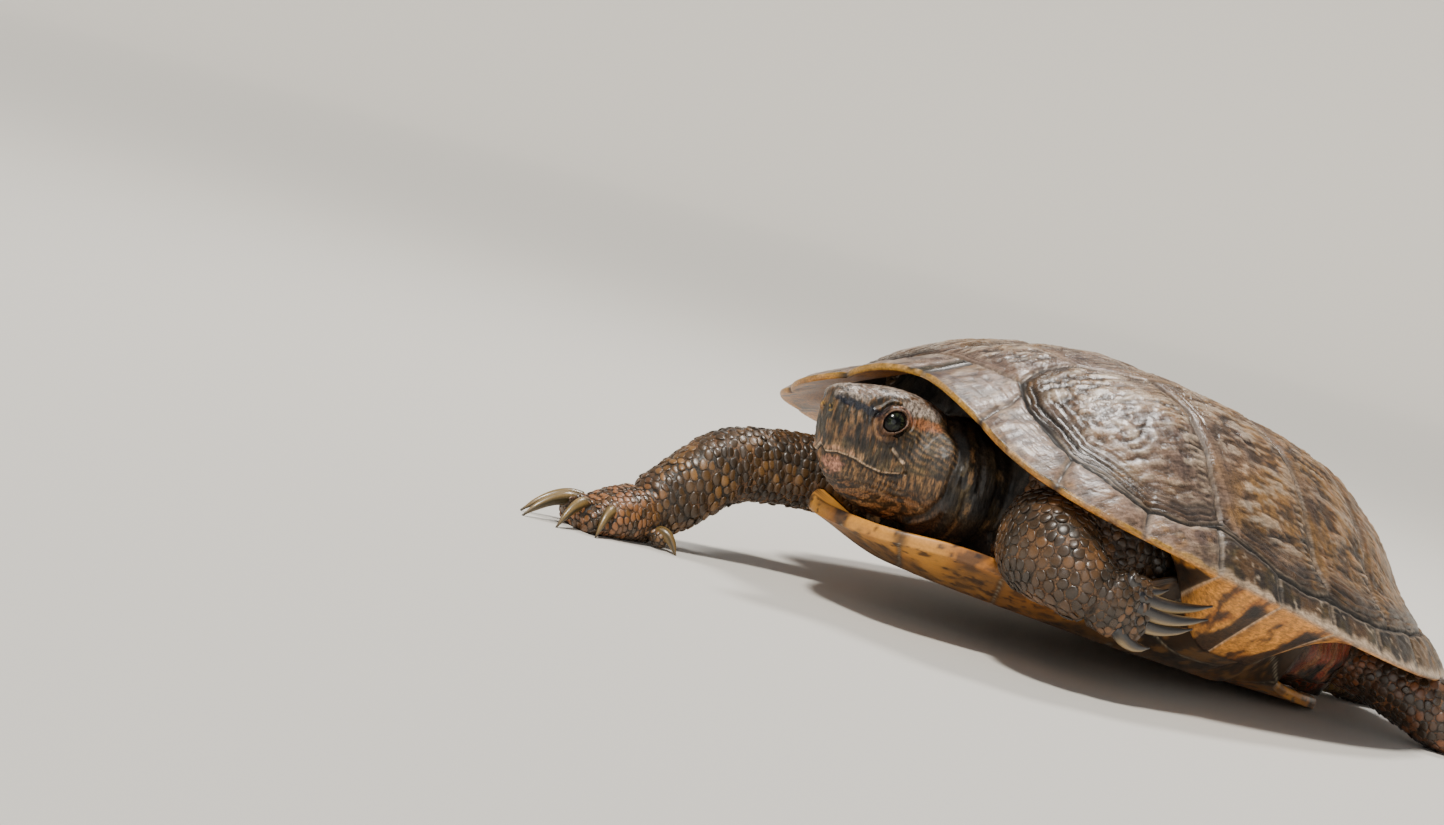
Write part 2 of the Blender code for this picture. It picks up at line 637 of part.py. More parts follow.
def build():
    for obj in list(bpy.data.objects):
        bpy.data.objects.remove(obj, do_unlink=True)
    parts = bpy.data.collections.new("red_eared_slider")
    cutters = bpy.data.collections.new("cutters")
    bpy.context.scene.collection.children.link(parts)
    bpy.context.scene.collection.children.link(cutters)

    nodes = {}
    looks = {}

    def add(name, bm, look):
        to_world(bm)
        lay_on_floor(bm)
        nodes[name] = make_object(name, bm, parts)
        looks[name] = look

    def cut(target, *shapes):
        for shape in shapes:
            boolean(nodes[target], shape, "DIFFERENCE")

    # Shell
    add("carapace", carapace_mesh(), "carapace")
    add("plastron", plastron_mesh(), "plastron")
    shells = [cutter("carapace_cutter", carapace_mesh(), cutters),
              cutter("plastron_cutter", plastron_mesh(), cutters)]

    # Head, with a socket for each eye
    add("head", head_mesh(), "head")
    for side, name in ((1.0, "eye_left"), (-1.0, "eye_right")):
        add(name, eye_mesh(side), "eye")
        cut("head", cutter(name + "_cutter", eye_mesh(side), cutters))
    head_cutter = cutter("head_cutter", head_mesh(), cutters)

    # Feet with their toes and claws
    for foot, stations in FEET.items():
        add(foot, limb_mesh(stations, *FOOT_LOFT), "skin")
        centre = stations[1][:3]
        radius = CLAW_RADIUS[foot]
        for number, (root, tip) in enumerate(CLAWS[foot], start=1):
            toe = joiner(f"{foot}_toe_{number}", toe_mesh(root, centre, radius), cutters)
            boolean(nodes[foot], toe, "UNION")
        for number, (root, tip) in enumerate(CLAWS[foot], start=1):
            add(f"claw_{foot}_{number}", claw_mesh(root, tip, radius), "claw")
            cut(foot, cutter(f"{foot}_claw_{number}_cutter", claw_mesh(root, tip, radius), cutters))

    # Legs, neck, tail and trunk
    leg_cutters = {}
    for leg, foot in zip(LIMBS, FEET):
        add(leg, limb_mesh(LIMBS[leg], *LEG_LOFT), "skin")
        cut(leg, cutter(foot + "_cutter", limb_mesh(FEET[foot], *FOOT_LOFT), cutters))
        leg_cutters[leg] = cutter(leg + "_cutter", limb_mesh(LIMBS[leg], *LEG_LOFT), cutters)
    add("neck", limb_mesh(NECK, *NECK_LOFT), "skin")
    cut("neck", head_cutter, leg_cutters["foreleg_right"], leg_cutters["foreleg_left"])
    add("tail", limb_mesh(TAIL, *TAIL_LOFT), "skin")
    add("trunk", trunk_mesh(), "skin")
    cut("trunk", cutter("neck_cutter", limb_mesh(NECK, *NECK_LOFT), cutters), head_cutter,
        cutter("tail_cutter", limb_mesh(TAIL, *TAIL_LOFT), cutters), *leg_cutters.values())
    for name in (*LIMBS, *FEET, "neck", "tail"):
        cut(name, *shells)

    finish = {name: material(name) for name in COLOURS}
    for name, obj in nodes.items():
        obj.data.shade_smooth()
        obj.data.set_sharp_from_angle(angle=math.radians(38.0))
        obj.data.materials.clear()
        obj.data.materials.append(finish[looks[name]])
    centre_on_origin(nodes.values())


def centre_on_origin(objects):
    """Puts the origin under the middle of the whole turtle's box."""
    points = np.array([obj.matrix_world @ vert.co for obj in objects for vert in obj.data.vertices])
    middle = 0.5 * (points.min(axis=0) + points.max(axis=0))
    shift = (-middle[0], -middle[1], -points[:, 2].min())
    base = bpy.data.objects.new("turtle", None)
    bpy.context.scene.collection.objects.link(base)
    for obj in objects:
        obj.parent = base
    base.location = shift


build()
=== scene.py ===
"""Looks of the red-eared slider: worn horn shell, one continuous skin, scales, eyes, claws and stage.

Everything is drawn in the turtle's body frame, in millimetres: x to its left, y to its rear, z up, with the
plastron flat at z = 0, as in the part's source. It is then pitched, laid on the floor and put in metres.
"""

import itertools
import math

import bmesh
import bpy
import numpy as np
from mathutils import Matrix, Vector
from mathutils.kdtree import KDTree


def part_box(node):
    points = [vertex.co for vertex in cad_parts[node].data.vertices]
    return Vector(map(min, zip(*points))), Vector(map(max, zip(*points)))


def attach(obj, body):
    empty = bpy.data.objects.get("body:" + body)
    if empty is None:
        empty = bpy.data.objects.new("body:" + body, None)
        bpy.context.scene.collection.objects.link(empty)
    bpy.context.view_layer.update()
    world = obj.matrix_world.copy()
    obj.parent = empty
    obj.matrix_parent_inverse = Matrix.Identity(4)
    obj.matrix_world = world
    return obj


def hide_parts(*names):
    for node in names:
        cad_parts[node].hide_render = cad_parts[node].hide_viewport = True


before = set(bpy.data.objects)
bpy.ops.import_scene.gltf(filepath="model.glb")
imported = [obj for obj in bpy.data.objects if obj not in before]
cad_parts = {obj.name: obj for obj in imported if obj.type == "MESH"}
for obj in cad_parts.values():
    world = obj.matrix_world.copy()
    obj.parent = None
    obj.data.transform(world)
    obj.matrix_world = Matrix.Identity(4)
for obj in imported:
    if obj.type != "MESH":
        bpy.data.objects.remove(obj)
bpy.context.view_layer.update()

MM = 0.001
PITCH = math.radians(5.4)
PIVOT_Y = 94.0
GAP = 0.35
NOISE_GAIN = 1.35
FAR = 99.0


# ---------------------------------------------------------------- small maths

def smoothstep(low, high, value):
    """0 up to the low value, 1 from the high one, and a smooth rise between them."""
    t = np.clip((np.asarray(value, float) - low) / (high - low), 0.0, 1.0)
    return t * t * (3.0 - 2.0 * t)


def bell(value, width):
    """1 at zero, falling off to both sides."""
    return np.exp(-(np.asarray(value, float) / width) ** 2)


def bump(value, centre, width):
    """1 at the centre, falling off to both sides."""
    return bell(np.asarray(value, float) - centre, width)


def unit(vector):
    """The direction of each vector, one unit long."""
    vector = np.asarray(vector, float)
    length = np.linalg.norm(vector, axis=-1, keepdims=True)
    return vector / np.maximum(length, 1e-12)


def monotone(knots, values, at):
    """A smooth curve through the values that never overshoots them."""
    x = np.asarray(knots, float)
    y = np.asarray(values, float)
    step = np.diff(x)
    slope = np.diff(y) / step
    total = np.where(slope[1:] + slope[:-1] == 0.0, 1.0, slope[1:] + slope[:-1])
    inner = np.where(slope[1:] * slope[:-1] > 0.0, 2.0 * slope[1:] * slope[:-1] / total, 0.0)
    tangent = np.concatenate(([slope[0] if x[0] != 0.0 else 0.0], inner, [slope[-1]]))
    at = np.clip(np.asarray(at, float), x[0], x[-1])
    i = np.clip(np.searchsorted(x, at, side="right") - 1, 0, len(x) - 2)
    t = (at - x[i]) / step[i]
    return ((1 + 2 * t) * (1 - t) ** 2 * y[i] + t * (1 - t) ** 2 * step[i] * tangent[i]
            + t * t * (3 - 2 * t) * y[i + 1] + t * t * (t - 1) * step[i] * tangent[i + 1])


def spline(stations, count):
    """Rows of numbers on a Catmull-Rom curve through the stations."""
    rows = np.asarray(stations, float)
    padded = np.vstack((2 * rows[0] - rows[1], rows, 2 * rows[-1] - rows[-2]))
    out = []
    for place in np.linspace(0.0, len(rows) - 1.0, count):
        i = min(int(place), len(rows) - 2)
        t = place - i
        a, b, c, d = padded[i:i + 4]
        out.append(0.5 * (2 * b + (c - a) * t + (2 * a - 5 * b + 4 * c - d) * t ** 2
                          + (3 * b - a - 3 * c + d) * t ** 3))
    return np.array(out)


def lattice(corner, seed):
    """A steady random number from -1 to 1 for each whole-numbered corner."""
    h = (corner[..., 0] * 374761393 + corner[..., 1] * 668265263 + corner[..., 2] * 1274126177
         + seed * 974634777) & 0xFFFFFFFF
    h = ((h ^ (h >> 13)) * 1274126177) & 0xFFFFFFFF
    h = ((h ^ (h >> 16)) * 2246822519) & 0xFFFFFFFF
    return (h ^ (h >> 15)).astype(float) / 2147483648.0 - 1.0


def noise(points, size, seed=0):
    """Smooth noise from -1 to 1 with features of the given size, one number or one for each axis."""
    p = np.asarray(points, float) / np.asarray(size, float) + 71.37
    cell = np.floor(p).astype(np.int64)
    t = p - cell
    t = t * t * t * (t * (t * 6.0 - 15.0) + 10.0)
    total = 0.0
    for dx, dy, dz in itertools.product((0, 1), repeat=3):
        weight = (np.where(dx, t[..., 0], 1 - t[..., 0]) * np.where(dy, t[..., 1], 1 - t[..., 1])
                  * np.where(dz, t[..., 2], 1 - t[..., 2]))
        total = total + weight * lattice(cell + (dx, dy, dz), seed)
    return total * NOISE_GAIN


def fractal(points, size, octaves=3, seed=0):
    """Noise of the given size with finer and weaker noise on top of it."""
    total = 0.0
    reach = 0.0
    for k in range(octaves):
        strength = 0.5 ** k
        total = total + strength * noise(points, np.asarray(size, float) * 0.5 ** k, seed + 17 * k)
        reach += strength
    return total / reach ** 0.5


def srgb(*levels):
    """A colour given in 8-bit screen levels, as linear light."""
    c = np.array(levels, float) / 255.0
    return np.where(c <= 0.04045, c / 12.92, ((c + 0.055) / 1.055) ** 2.4)


def mix(first, second, share):
    """The second colour laid over the first with the given share."""
    share = np.asarray(share, float)
    if np.ndim(share):
        share = share[..., None]
    return np.asarray(first) * (1.0 - share) + np.asarray(second) * share


class Coat:
    """The colours of many places, painted by laying tints of one palette over each other."""

    def __init__(self, palette, tint):
        """Starts with one tint of the palette everywhere."""
        self.palette = palette
        self.colour = palette[tint]

    def lay(self, tint, share):
        """Lays a tint of the palette, or colours of its own, over what is there."""
        over = self.palette[tint] if isinstance(tint, str) else tint
        self.colour = mix(self.colour, over, share)


# ---------------------------------------------------------------- frame

SNOUT = np.array((-4.9, -82.9, 23.4))
HEAD_FORWARD = unit((-0.172, -0.975, -0.143))
HEAD_LEFT = unit(np.cross(-HEAD_FORWARD, (-0.091, -0.117, 0.989)))
HEAD_UP = np.cross(HEAD_FORWARD, HEAD_LEFT)
HEAD_SCALE = 1.049
HEAD_AXES = np.array((-HEAD_FORWARD, HEAD_LEFT, HEAD_UP))
EYE_CENTRE = np.array((12.5, 8.2, 9.2))
EYE_RADIUS = 3.9


def head_point(local):
    """Points of the body frame at distances behind the snout, to the left and up."""
    return SNOUT + HEAD_SCALE * (np.asarray(local) @ HEAD_AXES)


def head_local(points):
    """Distances behind the snout, to the left and up, of points of the body frame."""
    return (np.asarray(points) - SNOUT) @ HEAD_AXES.T / HEAD_SCALE


def pitched(points):
    """Body frame with its front lifted, in metres."""
    p = np.asarray(points, float)
    cos, sin = math.cos(PITCH), math.sin(PITCH)
    y = p[..., 1] - PIVOT_Y
    return np.stack((p[..., 0], y * cos + p[..., 2] * sin, p[..., 2] * cos - y * sin), -1) * MM


# The left eye is a ball at a known place of the body frame, so it tells where the frame put the body's origin
eye_low, eye_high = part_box("eye_left")
FRAME_SHIFT = 0.5 * (np.array(eye_low) + np.array(eye_high)) - pitched(head_point(EYE_CENTRE))
FRAME_SHIFT[2] = 0.0


def to_world(points):
    """Body frame to the part's frame in metres; nothing goes below the floor."""
    world = pitched(points) + FRAME_SHIFT
    world[..., 2] = np.maximum(world[..., 2], 0.0)
    return world


# ---------------------------------------------------------------- shell surfaces

HALF_WIDTH = 80.9
WIDEST_Y = 27.5
FRONT_REACH = 94.0
REAR_REACH = 114.0
FRONT_POWERS = (2.51, 4.34)
REAR_POWERS = (2.12, 2.13)
MARGINAL_LENGTHS = (23, 26, 24, 22.5, 22, 22, 23, 25.5, 25.5, 25, 24, 21.5)
NUCHAL_HALF_WIDTH = 3.0
TOP_HEIGHT = 72.3
APEX_Y = 13.5
AXIS = np.array((0.0, APEX_Y))
RIM_HEIGHT = 27.0
RIM_FALL = 0.095
NUCHAL_RISE = 17.6
NUCHAL_SPREAD = 39.5
REAR_RISE = 14.0
REAR_SPREAD = 3.0
DOME_RHO = (0.0, 0.25, 0.5, 0.7, 0.83, 0.92, 1.0)
DOME_FRONT = (1.0, 0.963, 0.792, 0.540, 0.280, 0.130, 0.0)
DOME_SIDE = (1.0, 0.985, 0.866, 0.592, 0.315, 0.200, 0.0)
DOME_REAR = (1.0, 0.980, 0.900, 0.650, 0.320, 0.135, 0.0)
SERRATION = 0.016
FRONT_LOBES = 0.028
SHELL_WALL = 3.4
RIM_EDGE = 1.8
MARGINAL_CROWN = 0.25
LIP = 1.0
FREE_INSET = 0.84
BRIDGE_INSET = 0.765
BRIDGE_HEIGHT = 8.0


def outline_table():
    """The left rim in plan from front to rear, its length up to each point, and where the seams meet it."""
    t = np.linspace(0.0, math.pi, 1601)
    cos, sin = np.cos(t), np.sin(t)
    front = cos > 0.0
    y = np.where(front, -FRONT_REACH * np.abs(cos) ** (2 / FRONT_POWERS[0]),
                 REAR_REACH * np.abs(cos) ** (2 / REAR_POWERS[0])) + WIDEST_Y
    x = HALF_WIDTH * np.where(front, np.abs(sin) ** (2 / FRONT_POWERS[1]),
                              np.abs(sin) ** (2 / REAR_POWERS[1]))
    arc = np.concatenate(([0.0], np.cumsum(np.hypot(np.diff(x), np.diff(y)))))
    lengths = np.cumsum(MARGINAL_LENGTHS)
    seams = NUCHAL_HALF_WIDTH + lengths * (arc[-1] - NUCHAL_HALF_WIDTH) / lengths[-1]
    return x, y, arc, np.concatenate(([0.0], seams))


OUTLINE = outline_table()


def rim(m):
    """The rim at marginal position m: 0 is the nuchal's middle, 1 to 12 the rear seam of each marginal."""
    x, y, arc, seams = OUTLINE
    along = np.interp(m, np.arange(13), seams)
    rim_x = np.interp(along, arc, x)
    rim_y = np.interp(along, arc, y)
    rim_z = (RIM_HEIGHT - RIM_FALL * rim_y + NUCHAL_RISE * bell(along, NUCHAL_SPREAD)
             + REAR_RISE * bell(np.asarray(m) - 12.0, REAR_SPREAD))
    return rim_x, rim_y, rim_z


def serration(m):
    """How far the rim stands out between the seams: saw teeth at the rear, low lobes at the front."""
    part = np.asarray(m, float) % 1.0
    depth = SERRATION * smoothstep(6.5, 9.5, m) + FRONT_LOBES * (1.0 - smoothstep(2.5, 4.5, m))
    return depth * (np.sin(math.pi * part) ** 0.7 - 0.5)


def dome(m, rho, side=1.0):
    """The carapace's outer surface, from its top at rho 0 to its rim at rho 1."""
    m = np.asarray(m, float)
    rho = np.asarray(rho, float)
    rim_x, rim_y, rim_z = rim(m)
    front = 1.0 - smoothstep(0.5, 4.5, m)
    rear = smoothstep(7.5, 11.5, m)
    height = (front * monotone(DOME_RHO, DOME_FRONT, rho) + rear * monotone(DOME_RHO, DOME_REAR, rho)
              + (1.0 - front - rear) * monotone(DOME_RHO, DOME_SIDE, rho))
    reach = rho * (1.0 + serration(m) * smoothstep(0.8, 1.0, rho))
    x = side * rim_x * reach
    y = APEX_Y + (rim_y - APEX_Y) * reach
    z = rim_z + (TOP_HEIGHT - rim_z) * height
    return np.stack(np.broadcast_arrays(x, y, z), -1)


def bridge_share(m):
    """1 where the plastron's bridge meets the marginals, 0 where the rim is free."""
    y = rim(m)[1]
    return smoothstep(-38.0, 4.0, y) * (1.0 - smoothstep(26.0, 56.0, y))


def inset(m):
    """How far out on the way to the rim the underside of the marginals begins."""
    return FREE_INSET + (BRIDGE_INSET - FREE_INSET) * bridge_share(m)


def lip_point(m, side):
    """The inner end of the marginals' underside: the free lip, or the seam with the bridge."""
    point = dome(m, inset(m), side)
    free = point[..., 2] - SHELL_WALL - LIP
    point[..., 2] = free + (BRIDGE_HEIGHT - free) * bridge_share(m)
    return point


def step_height(m):
    """Height of the step behind the marginals' inner end: the lip alone, or the whole wall at the bridge."""
    return LIP + (SHELL_WALL - LIP) * bridge_share(m)


def around_shell(count):
    """Marginal positions once around the shell, down its left side and up its right, and the side of each."""
    left = np.linspace(0.0, 12.0, count)
    m = np.concatenate((left, left[-2:0:-1]))
    side = np.concatenate((np.ones(count), -np.ones(count - 2)))
    return m, side


def place_on_shell(x, y):
    """Marginal position and rho of places given in plan."""
    m_table = np.linspace(0.0, 12.0, 1201)
    rim_x, rim_y, _ = rim(m_table)
    angle = np.arctan2(rim_x, -(rim_y - APEX_Y))
    here = np.arctan2(np.abs(x), -(np.asarray(y) - APEX_Y))
    m = np.interp(here, angle, m_table)
    rim_x, rim_y, _ = rim(m)
    rho = np.hypot(x, np.asarray(y) - APEX_Y) / np.hypot(rim_x, rim_y - APEX_Y)
    return m, rho


# ---------------------------------------------------------------- meshes and materials

def linked(name, data):
    """A new object of the scene that holds the data."""
    obj = bpy.data.objects.new(name, data)
    bpy.context.scene.collection.objects.link(obj)
    return obj


def mesh_object(name, points, faces):
    """A smooth mesh from points of the body frame."""
    mesh = bpy.data.meshes.new(name)
    mesh.from_pydata(to_world(points).tolist(), [], faces)
    mesh.validate()
    obj = linked(name, mesh)
    mesh.shade_smooth()
    return obj


def grid_faces(rows, columns, offset=0):
    """Quads of a grid that closes on itself along its columns, each row running on from the one before."""
    i = np.arange(rows - 1)[:, None] * columns
    j = np.arange(columns)[None, :]
    k = (j + 1) % columns
    quads = np.stack((i + j, i + k, i + columns + k, i + columns + j), -1).reshape(-1, 4)
    return quads + offset


def closed_grid(name, first, rings, last):
    """A closed mesh of rings with a point at each end; the rings run so that faces point out."""
    rings = np.asarray(rings, float)
    rows, columns = rings.shape[:2]
    points = np.vstack((rings.reshape(-1, 3), [first], [last]))
    quads = grid_faces(rows, columns)
    j = np.arange(columns)
    k = (j + 1) % columns
    top = np.stack((np.full(columns, rows * columns), k, j), -1)
    end = (rows - 1) * columns
    bottom = np.stack((np.full(columns, rows * columns + 1), end + j, end + k), -1)
    faces = [*quads.tolist(), *top.tolist(), *bottom.tolist()]
    obj = mesh_object(name, points, faces)
    face_outward(obj)
    return obj


def face_outward(obj):
    """Turns every face of a closed mesh outwards."""
    bm = bmesh.new()
    bm.from_mesh(obj.data)
    bmesh.ops.recalc_face_normals(bm, faces=bm.faces)
    bm.to_mesh(obj.data)
    bm.free()


def paint(obj, colours, roughness, flow=None):
    """Gives each vertex its colour and roughness, and the place that fine streaks are read at."""
    mesh = obj.data
    tint = mesh.attributes.new("tint", "FLOAT_COLOR", "POINT")
    rgba = np.ones((len(mesh.vertices), 4))
    rgba[:, :3] = np.clip(colours, 0.0, 1.0)
    tint.data.foreach_set("color", rgba.ravel())
    gloss = mesh.attributes.new("rough", "FLOAT", "POINT")
    gloss.data.foreach_set("value", np.clip(np.broadcast_to(roughness, len(mesh.vertices)), 0.02, 1.0)
                           .astype(np.float32))
    if flow is not None:
        along = mesh.attributes.new("flow", "FLOAT_VECTOR", "POINT")
        along.data.foreach_set("vector", np.asarray(flow, np.float32).ravel())


def add_node(tree, kind, inputs=(), **settings):
    """A new shader node; an input is set to its value, or linked where the value is another node's output."""
    node = tree.nodes.new(f"ShaderNode{kind}")
    for key, value in settings.items():
        setattr(node, key, value)
    for key, value in dict(inputs).items():
        if isinstance(value, bpy.types.NodeSocket):
            tree.links.new(value, node.inputs[key])
        else:
            node.inputs[key].default_value = value
    return node


def shaded(tree, colour, pattern, span, swing):
    """The colour made lighter and darker by up to the swing, as the pattern runs over its span."""
    low, high = span
    shade = add_node(tree, "MapRange", {"From Min": low, "From Max": high, "To Min": 1.0 - swing,
                                        "To Max": 1.0 + swing, "Value": pattern})
    mixed = add_node(tree, "Mix", {"Factor": 1.0, "A": colour, "B": shade.outputs["Result"]},
                     data_type="RGBA", blend_type="MULTIPLY")
    return mixed.outputs["Result"]


def painted_material(name, grain, depth, speckle=0.25, coat=0.0, coat_roughness=0.2, specular=0.5,
                     streaks=0.0, streak_size=0.5, subsurface=0.0):
    """A finish that takes colour and roughness from the mesh, with fine grain in colour, gloss and relief.

    The grain is in millimetres across and the depth in millimetres."""
    material = bpy.data.materials.new(name)
    material.use_nodes = True
    tree = material.node_tree
    shader = tree.nodes["Principled BSDF"]
    finish = {"Specular IOR Level": specular, "Coat Weight": coat, "Coat Roughness": coat_roughness}
    if subsurface:
        finish.update({"Subsurface Weight": subsurface, "Subsurface Radius": (0.002, 0.001, 0.0006),
                       "Subsurface Scale": 1.0})
    for key, value in finish.items():
        shader.inputs[key].default_value = value

    place = add_node(tree, "TexCoord").outputs["Object"]
    tint = add_node(tree, "Attribute", attribute_name="tint").outputs["Color"]
    rough = add_node(tree, "Attribute", attribute_name="rough").outputs["Fac"]
    fine = add_node(tree, "TexNoise", {"Scale": 1.0 / (grain * MM), "Detail": 4.0, "Roughness": 0.6,
                                       "Vector": place}).outputs["Fac"]
    colour = shaded(tree, tint, fine, (0.3, 0.7), speckle)
    lowered = add_node(tree, "Math", {0: rough, 1: 0.12}, operation="SUBTRACT").outputs["Value"]
    gloss = add_node(tree, "Math", {0: fine, 1: 0.25, 2: lowered}, operation="MULTIPLY_ADD")
    relief = add_node(tree, "Bump", {"Strength": 1.0, "Distance": depth * MM, "Height": fine})
    if streaks:
        flow = add_node(tree, "Attribute", attribute_name="flow").outputs["Vector"]
        threads = add_node(tree, "TexNoise", {"Scale": 1.0 / streak_size, "Detail": 3.0, "Roughness": 0.65,
                                              "Vector": flow}).outputs["Fac"]
        colour = shaded(tree, colour, threads, (0.36, 0.64), streaks)
        relief = add_node(tree, "Bump", {"Strength": 1.0, "Distance": 1.5 * depth * MM, "Height": threads,
                                         "Normal": relief.outputs["Normal"]})
    tree.links.new(gloss.outputs["Value"], shader.inputs["Roughness"])
    tree.links.new(colour, shader.inputs["Base Color"])
    tree.links.new(relief.outputs["Normal"], shader.inputs["Normal"])
    return material


def dress(obj, material, slot, *nodes):
    """Gives a piece its only material, puts it under the root and hides the nodes that it replaces; the slot
    is not used.
    """
    obj.data.materials.clear()
    obj.data.materials.append(material)
    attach(obj, "root")
    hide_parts(*nodes)
    return obj


# ---------------------------------------------------------------- carapace

STEPS = 30
MARGINAL_MEAN = 23.0
OUTER_ROWS = np.concatenate((np.linspace(0.012, 0.78, 128), np.linspace(0.78, 1.0, 72)[1:]))
# The painted_glare tint is a painted highlight.
HORN = {
    "painted_glare": srgb(206, 186, 162), "tan": srgb(130, 96, 56), "pink": srgb(128, 105, 90),
    "brown": srgb(80, 56, 36), "mauve": srgb(76, 62, 60), "dark": srgb(44, 36, 30), "olive": srgb(64, 54, 34),
    "black": srgb(22, 20, 19), "rust": srgb(162, 108, 56), "line": srgb(190, 166, 140),
    "edge": srgb(196, 146, 52), "under": srgb(208, 140, 60), "amber": srgb(168, 102, 38),
    "smoke": srgb(52, 38, 28),
}

# Where the marginals' inner seam runs, as a share of the way to the rim
SEAM_M = (0.0, 0.08, 0.8, 1.21, 2.0, 2.95, 3.5, 4.05, 4.4, 5.04, 6.04, 7.04, 8.0, 9.0, 10.0, 11.0, 12.0)
SEAM_RHO = (0.79, 0.80, 0.763, 0.815, 0.88, 0.936, 0.925, 0.885, 0.91, 0.94, 0.948, 0.945, 0.93, 0.915, 0.905,
            0.895, 0.90)

# Plates of the left half in plan: outline, centre of growth, and how deep the rings cut along each side
PLATES = {
    "vertebral_1": (((0, -50.5), (1.7, -50.5), (16.8, -47.4), (12.7, -36.6), (12.5, -25.0), (0, -26.5)),
                    (0, -31.0), (1.0, 1.0, 0.8, 0.4, 0.3, 0.0)),
    "vertebral_2": (((0, -26.5), (12.5, -25.0), (22.5, -7.2), (16.0, 12.5), (0, 11.0)),
                    (0, 4.0), (0.5, 0.8, 0.5, 0.3, 0.0)),
    "vertebral_3": (((0, 11.0), (16.0, 12.5), (23.5, 30.8), (15.5, 48.5), (0, 47.0)),
                    (0, 41.0), (0.5, 0.8, 0.5, 0.3, 0.0)),
    "vertebral_4": (((0, 47.0), (15.5, 48.5), (21.5, 64.5), (13.0, 83.0), (0, 82.0)),
                    (0, 76.0), (0.5, 0.8, 0.5, 0.3, 0.0)),
    "vertebral_5": (((0, 82.0), (13.0, 83.0), (26.5, 121.0), (13.5, 127.0), (0, 129.0)),
                    (0, 97.0), (0.5, 0.6, 1.0, 1.0, 0.0)),
    "costal_1": (((16.8, -47.4), (27.4, -51.4), (47.6, -51.1), (65.8, -38.2), (69.8, -25.0), (67.2, -11.0),
                  (39.1, -7.4), (22.5, -7.2), (12.5, -25.0), (12.7, -36.6)),
                 (32.0, -14.0), (1.0, 1.0, 1.0, 1.0, 0.9, 0.5, 0.5, 0.4, 0.6, 0.8)),
    "costal_2": (((22.5, -7.2), (39.1, -7.4), (67.2, -11.0), (72.6, -2.0), (76.0, 7.0), (76.8, 18.0),
                  (75.8, 29.6), (48.2, 30.6), (23.5, 30.8), (16.0, 12.5)),
                 (33.0, 24.0), (0.5, 0.5, 1.0, 1.0, 1.0, 1.0, 0.5, 0.5, 0.4, 0.4)),
    "costal_3": (((23.5, 30.8), (48.2, 30.6), (75.8, 29.6), (76.5, 41.0), (74.6, 53.0), (72.6, 61.0),
                  (46.0, 64.0), (21.5, 64.5), (15.5, 48.5)),
                 (33.0, 57.0), (0.5, 0.5, 1.0, 1.0, 1.0, 0.5, 0.5, 0.4, 0.4)),
    "costal_4": (((21.5, 64.5), (46.0, 64.0), (72.6, 61.0), (67.5, 78.0), (56.5, 96.5), (41.5, 112.5),
                  (26.5, 121.0), (13.0, 83.0)),
                 (27.0, 84.0), (0.5, 0.5, 1.0, 1.0, 1.0, 1.0, 0.5, 0.4)),
}


def chart_table():
    """How far down the dome each place is, so that distances between seams are true on the shell."""
    m = np.linspace(0.0, 12.0, 361)
    rho = np.linspace(0.0, 1.0, 161)
    grid = dome(m[None, :], rho[:, None])
    steps = np.linalg.norm(np.diff(grid, axis=0), axis=-1)
    down = np.vstack((np.zeros(len(m)), np.cumsum(steps, axis=0)))
    return m, rho, down


CHART_M, CHART_RHO, CHART_DOWN = chart_table()


def chart(m, rho):
    """The shell laid flat: places in millimetres around the top, left half."""
    m = np.asarray(m, float)
    rho = np.asarray(rho, float)
    a = np.clip(m / 12.0 * (len(CHART_M) - 1), 0, len(CHART_M) - 1.001)
    b = np.clip(rho * (len(CHART_RHO) - 1), 0, len(CHART_RHO) - 1.001)
    i, j = a.astype(int), b.astype(int)
    u, v = a - i, b - j
    down = (CHART_DOWN[j, i] * (1 - u) * (1 - v) + CHART_DOWN[j, i + 1] * u * (1 - v)
            + CHART_DOWN[j + 1, i] * (1 - u) * v + CHART_DOWN[j + 1, i + 1] * u * v)
    rim_x, rim_y, _ = rim(m)
    direction = unit(np.stack((rim_x, rim_y - APEX_Y), -1))
    return direction * down[..., None]


def chart_of_plan(points):
    """Places given in plan, in the chart."""
    points = np.asarray(points, float)
    return chart(*place_on_shell(points[:, 0], points[:, 1]))


NUCHAL_SHARE = 0.11
MARGINAL_CUTS = (1, 1, 1, 1, 0.5, 0, 0, 0, 0, 1)
REAR_CUT = 0.5
REAR_OFFSET = 40.0
PLATE_SPAN = 60.0


def marginal_plates():
    """Each marginal in the chart: inner seam, rear seam, rim and front seam, with its centre of growth."""
    plates = {}
    for k in range(12):
        across = np.linspace(k or NUCHAL_SHARE, k + 1, 5)
        inner = chart(across, np.interp(across, SEAM_M, SEAM_RHO))
        outer = chart(across[::-1], np.full(5, 1.0))
        centre = chart(np.array([k + 0.80]), np.array([0.995]))[0]
        plates[f"marginal_{k + 1}"] = np.vstack((inner, outer)), centre, MARGINAL_CUTS
    return plates


def segment_distance(points, a, b):
    """Distance to a segment, and the place along it in millimetres."""
    line = b - a
    length = max(np.linalg.norm(line), 1e-9)
    along = np.clip((points - a) @ line / length, 0.0, length)
    return np.linalg.norm(points - a - along[..., None] * line / length, axis=-1), along


def inside(points, outline):
    """Which places lie within the outline, by how often a line from each one crosses it."""
    result = np.zeros(len(points), bool)
    x, y = points[:, 0], points[:, 1]
    for (x0, y0), (x1, y1) in zip(outline, np.roll(outline, -1, axis=0)):
        crosses = (y0 > y) != (y1 > y)
        if y0 != y1:
            result ^= crosses & (x < (x1 - x0) * (y - y0) / (y1 - y0) + x0)
    return result


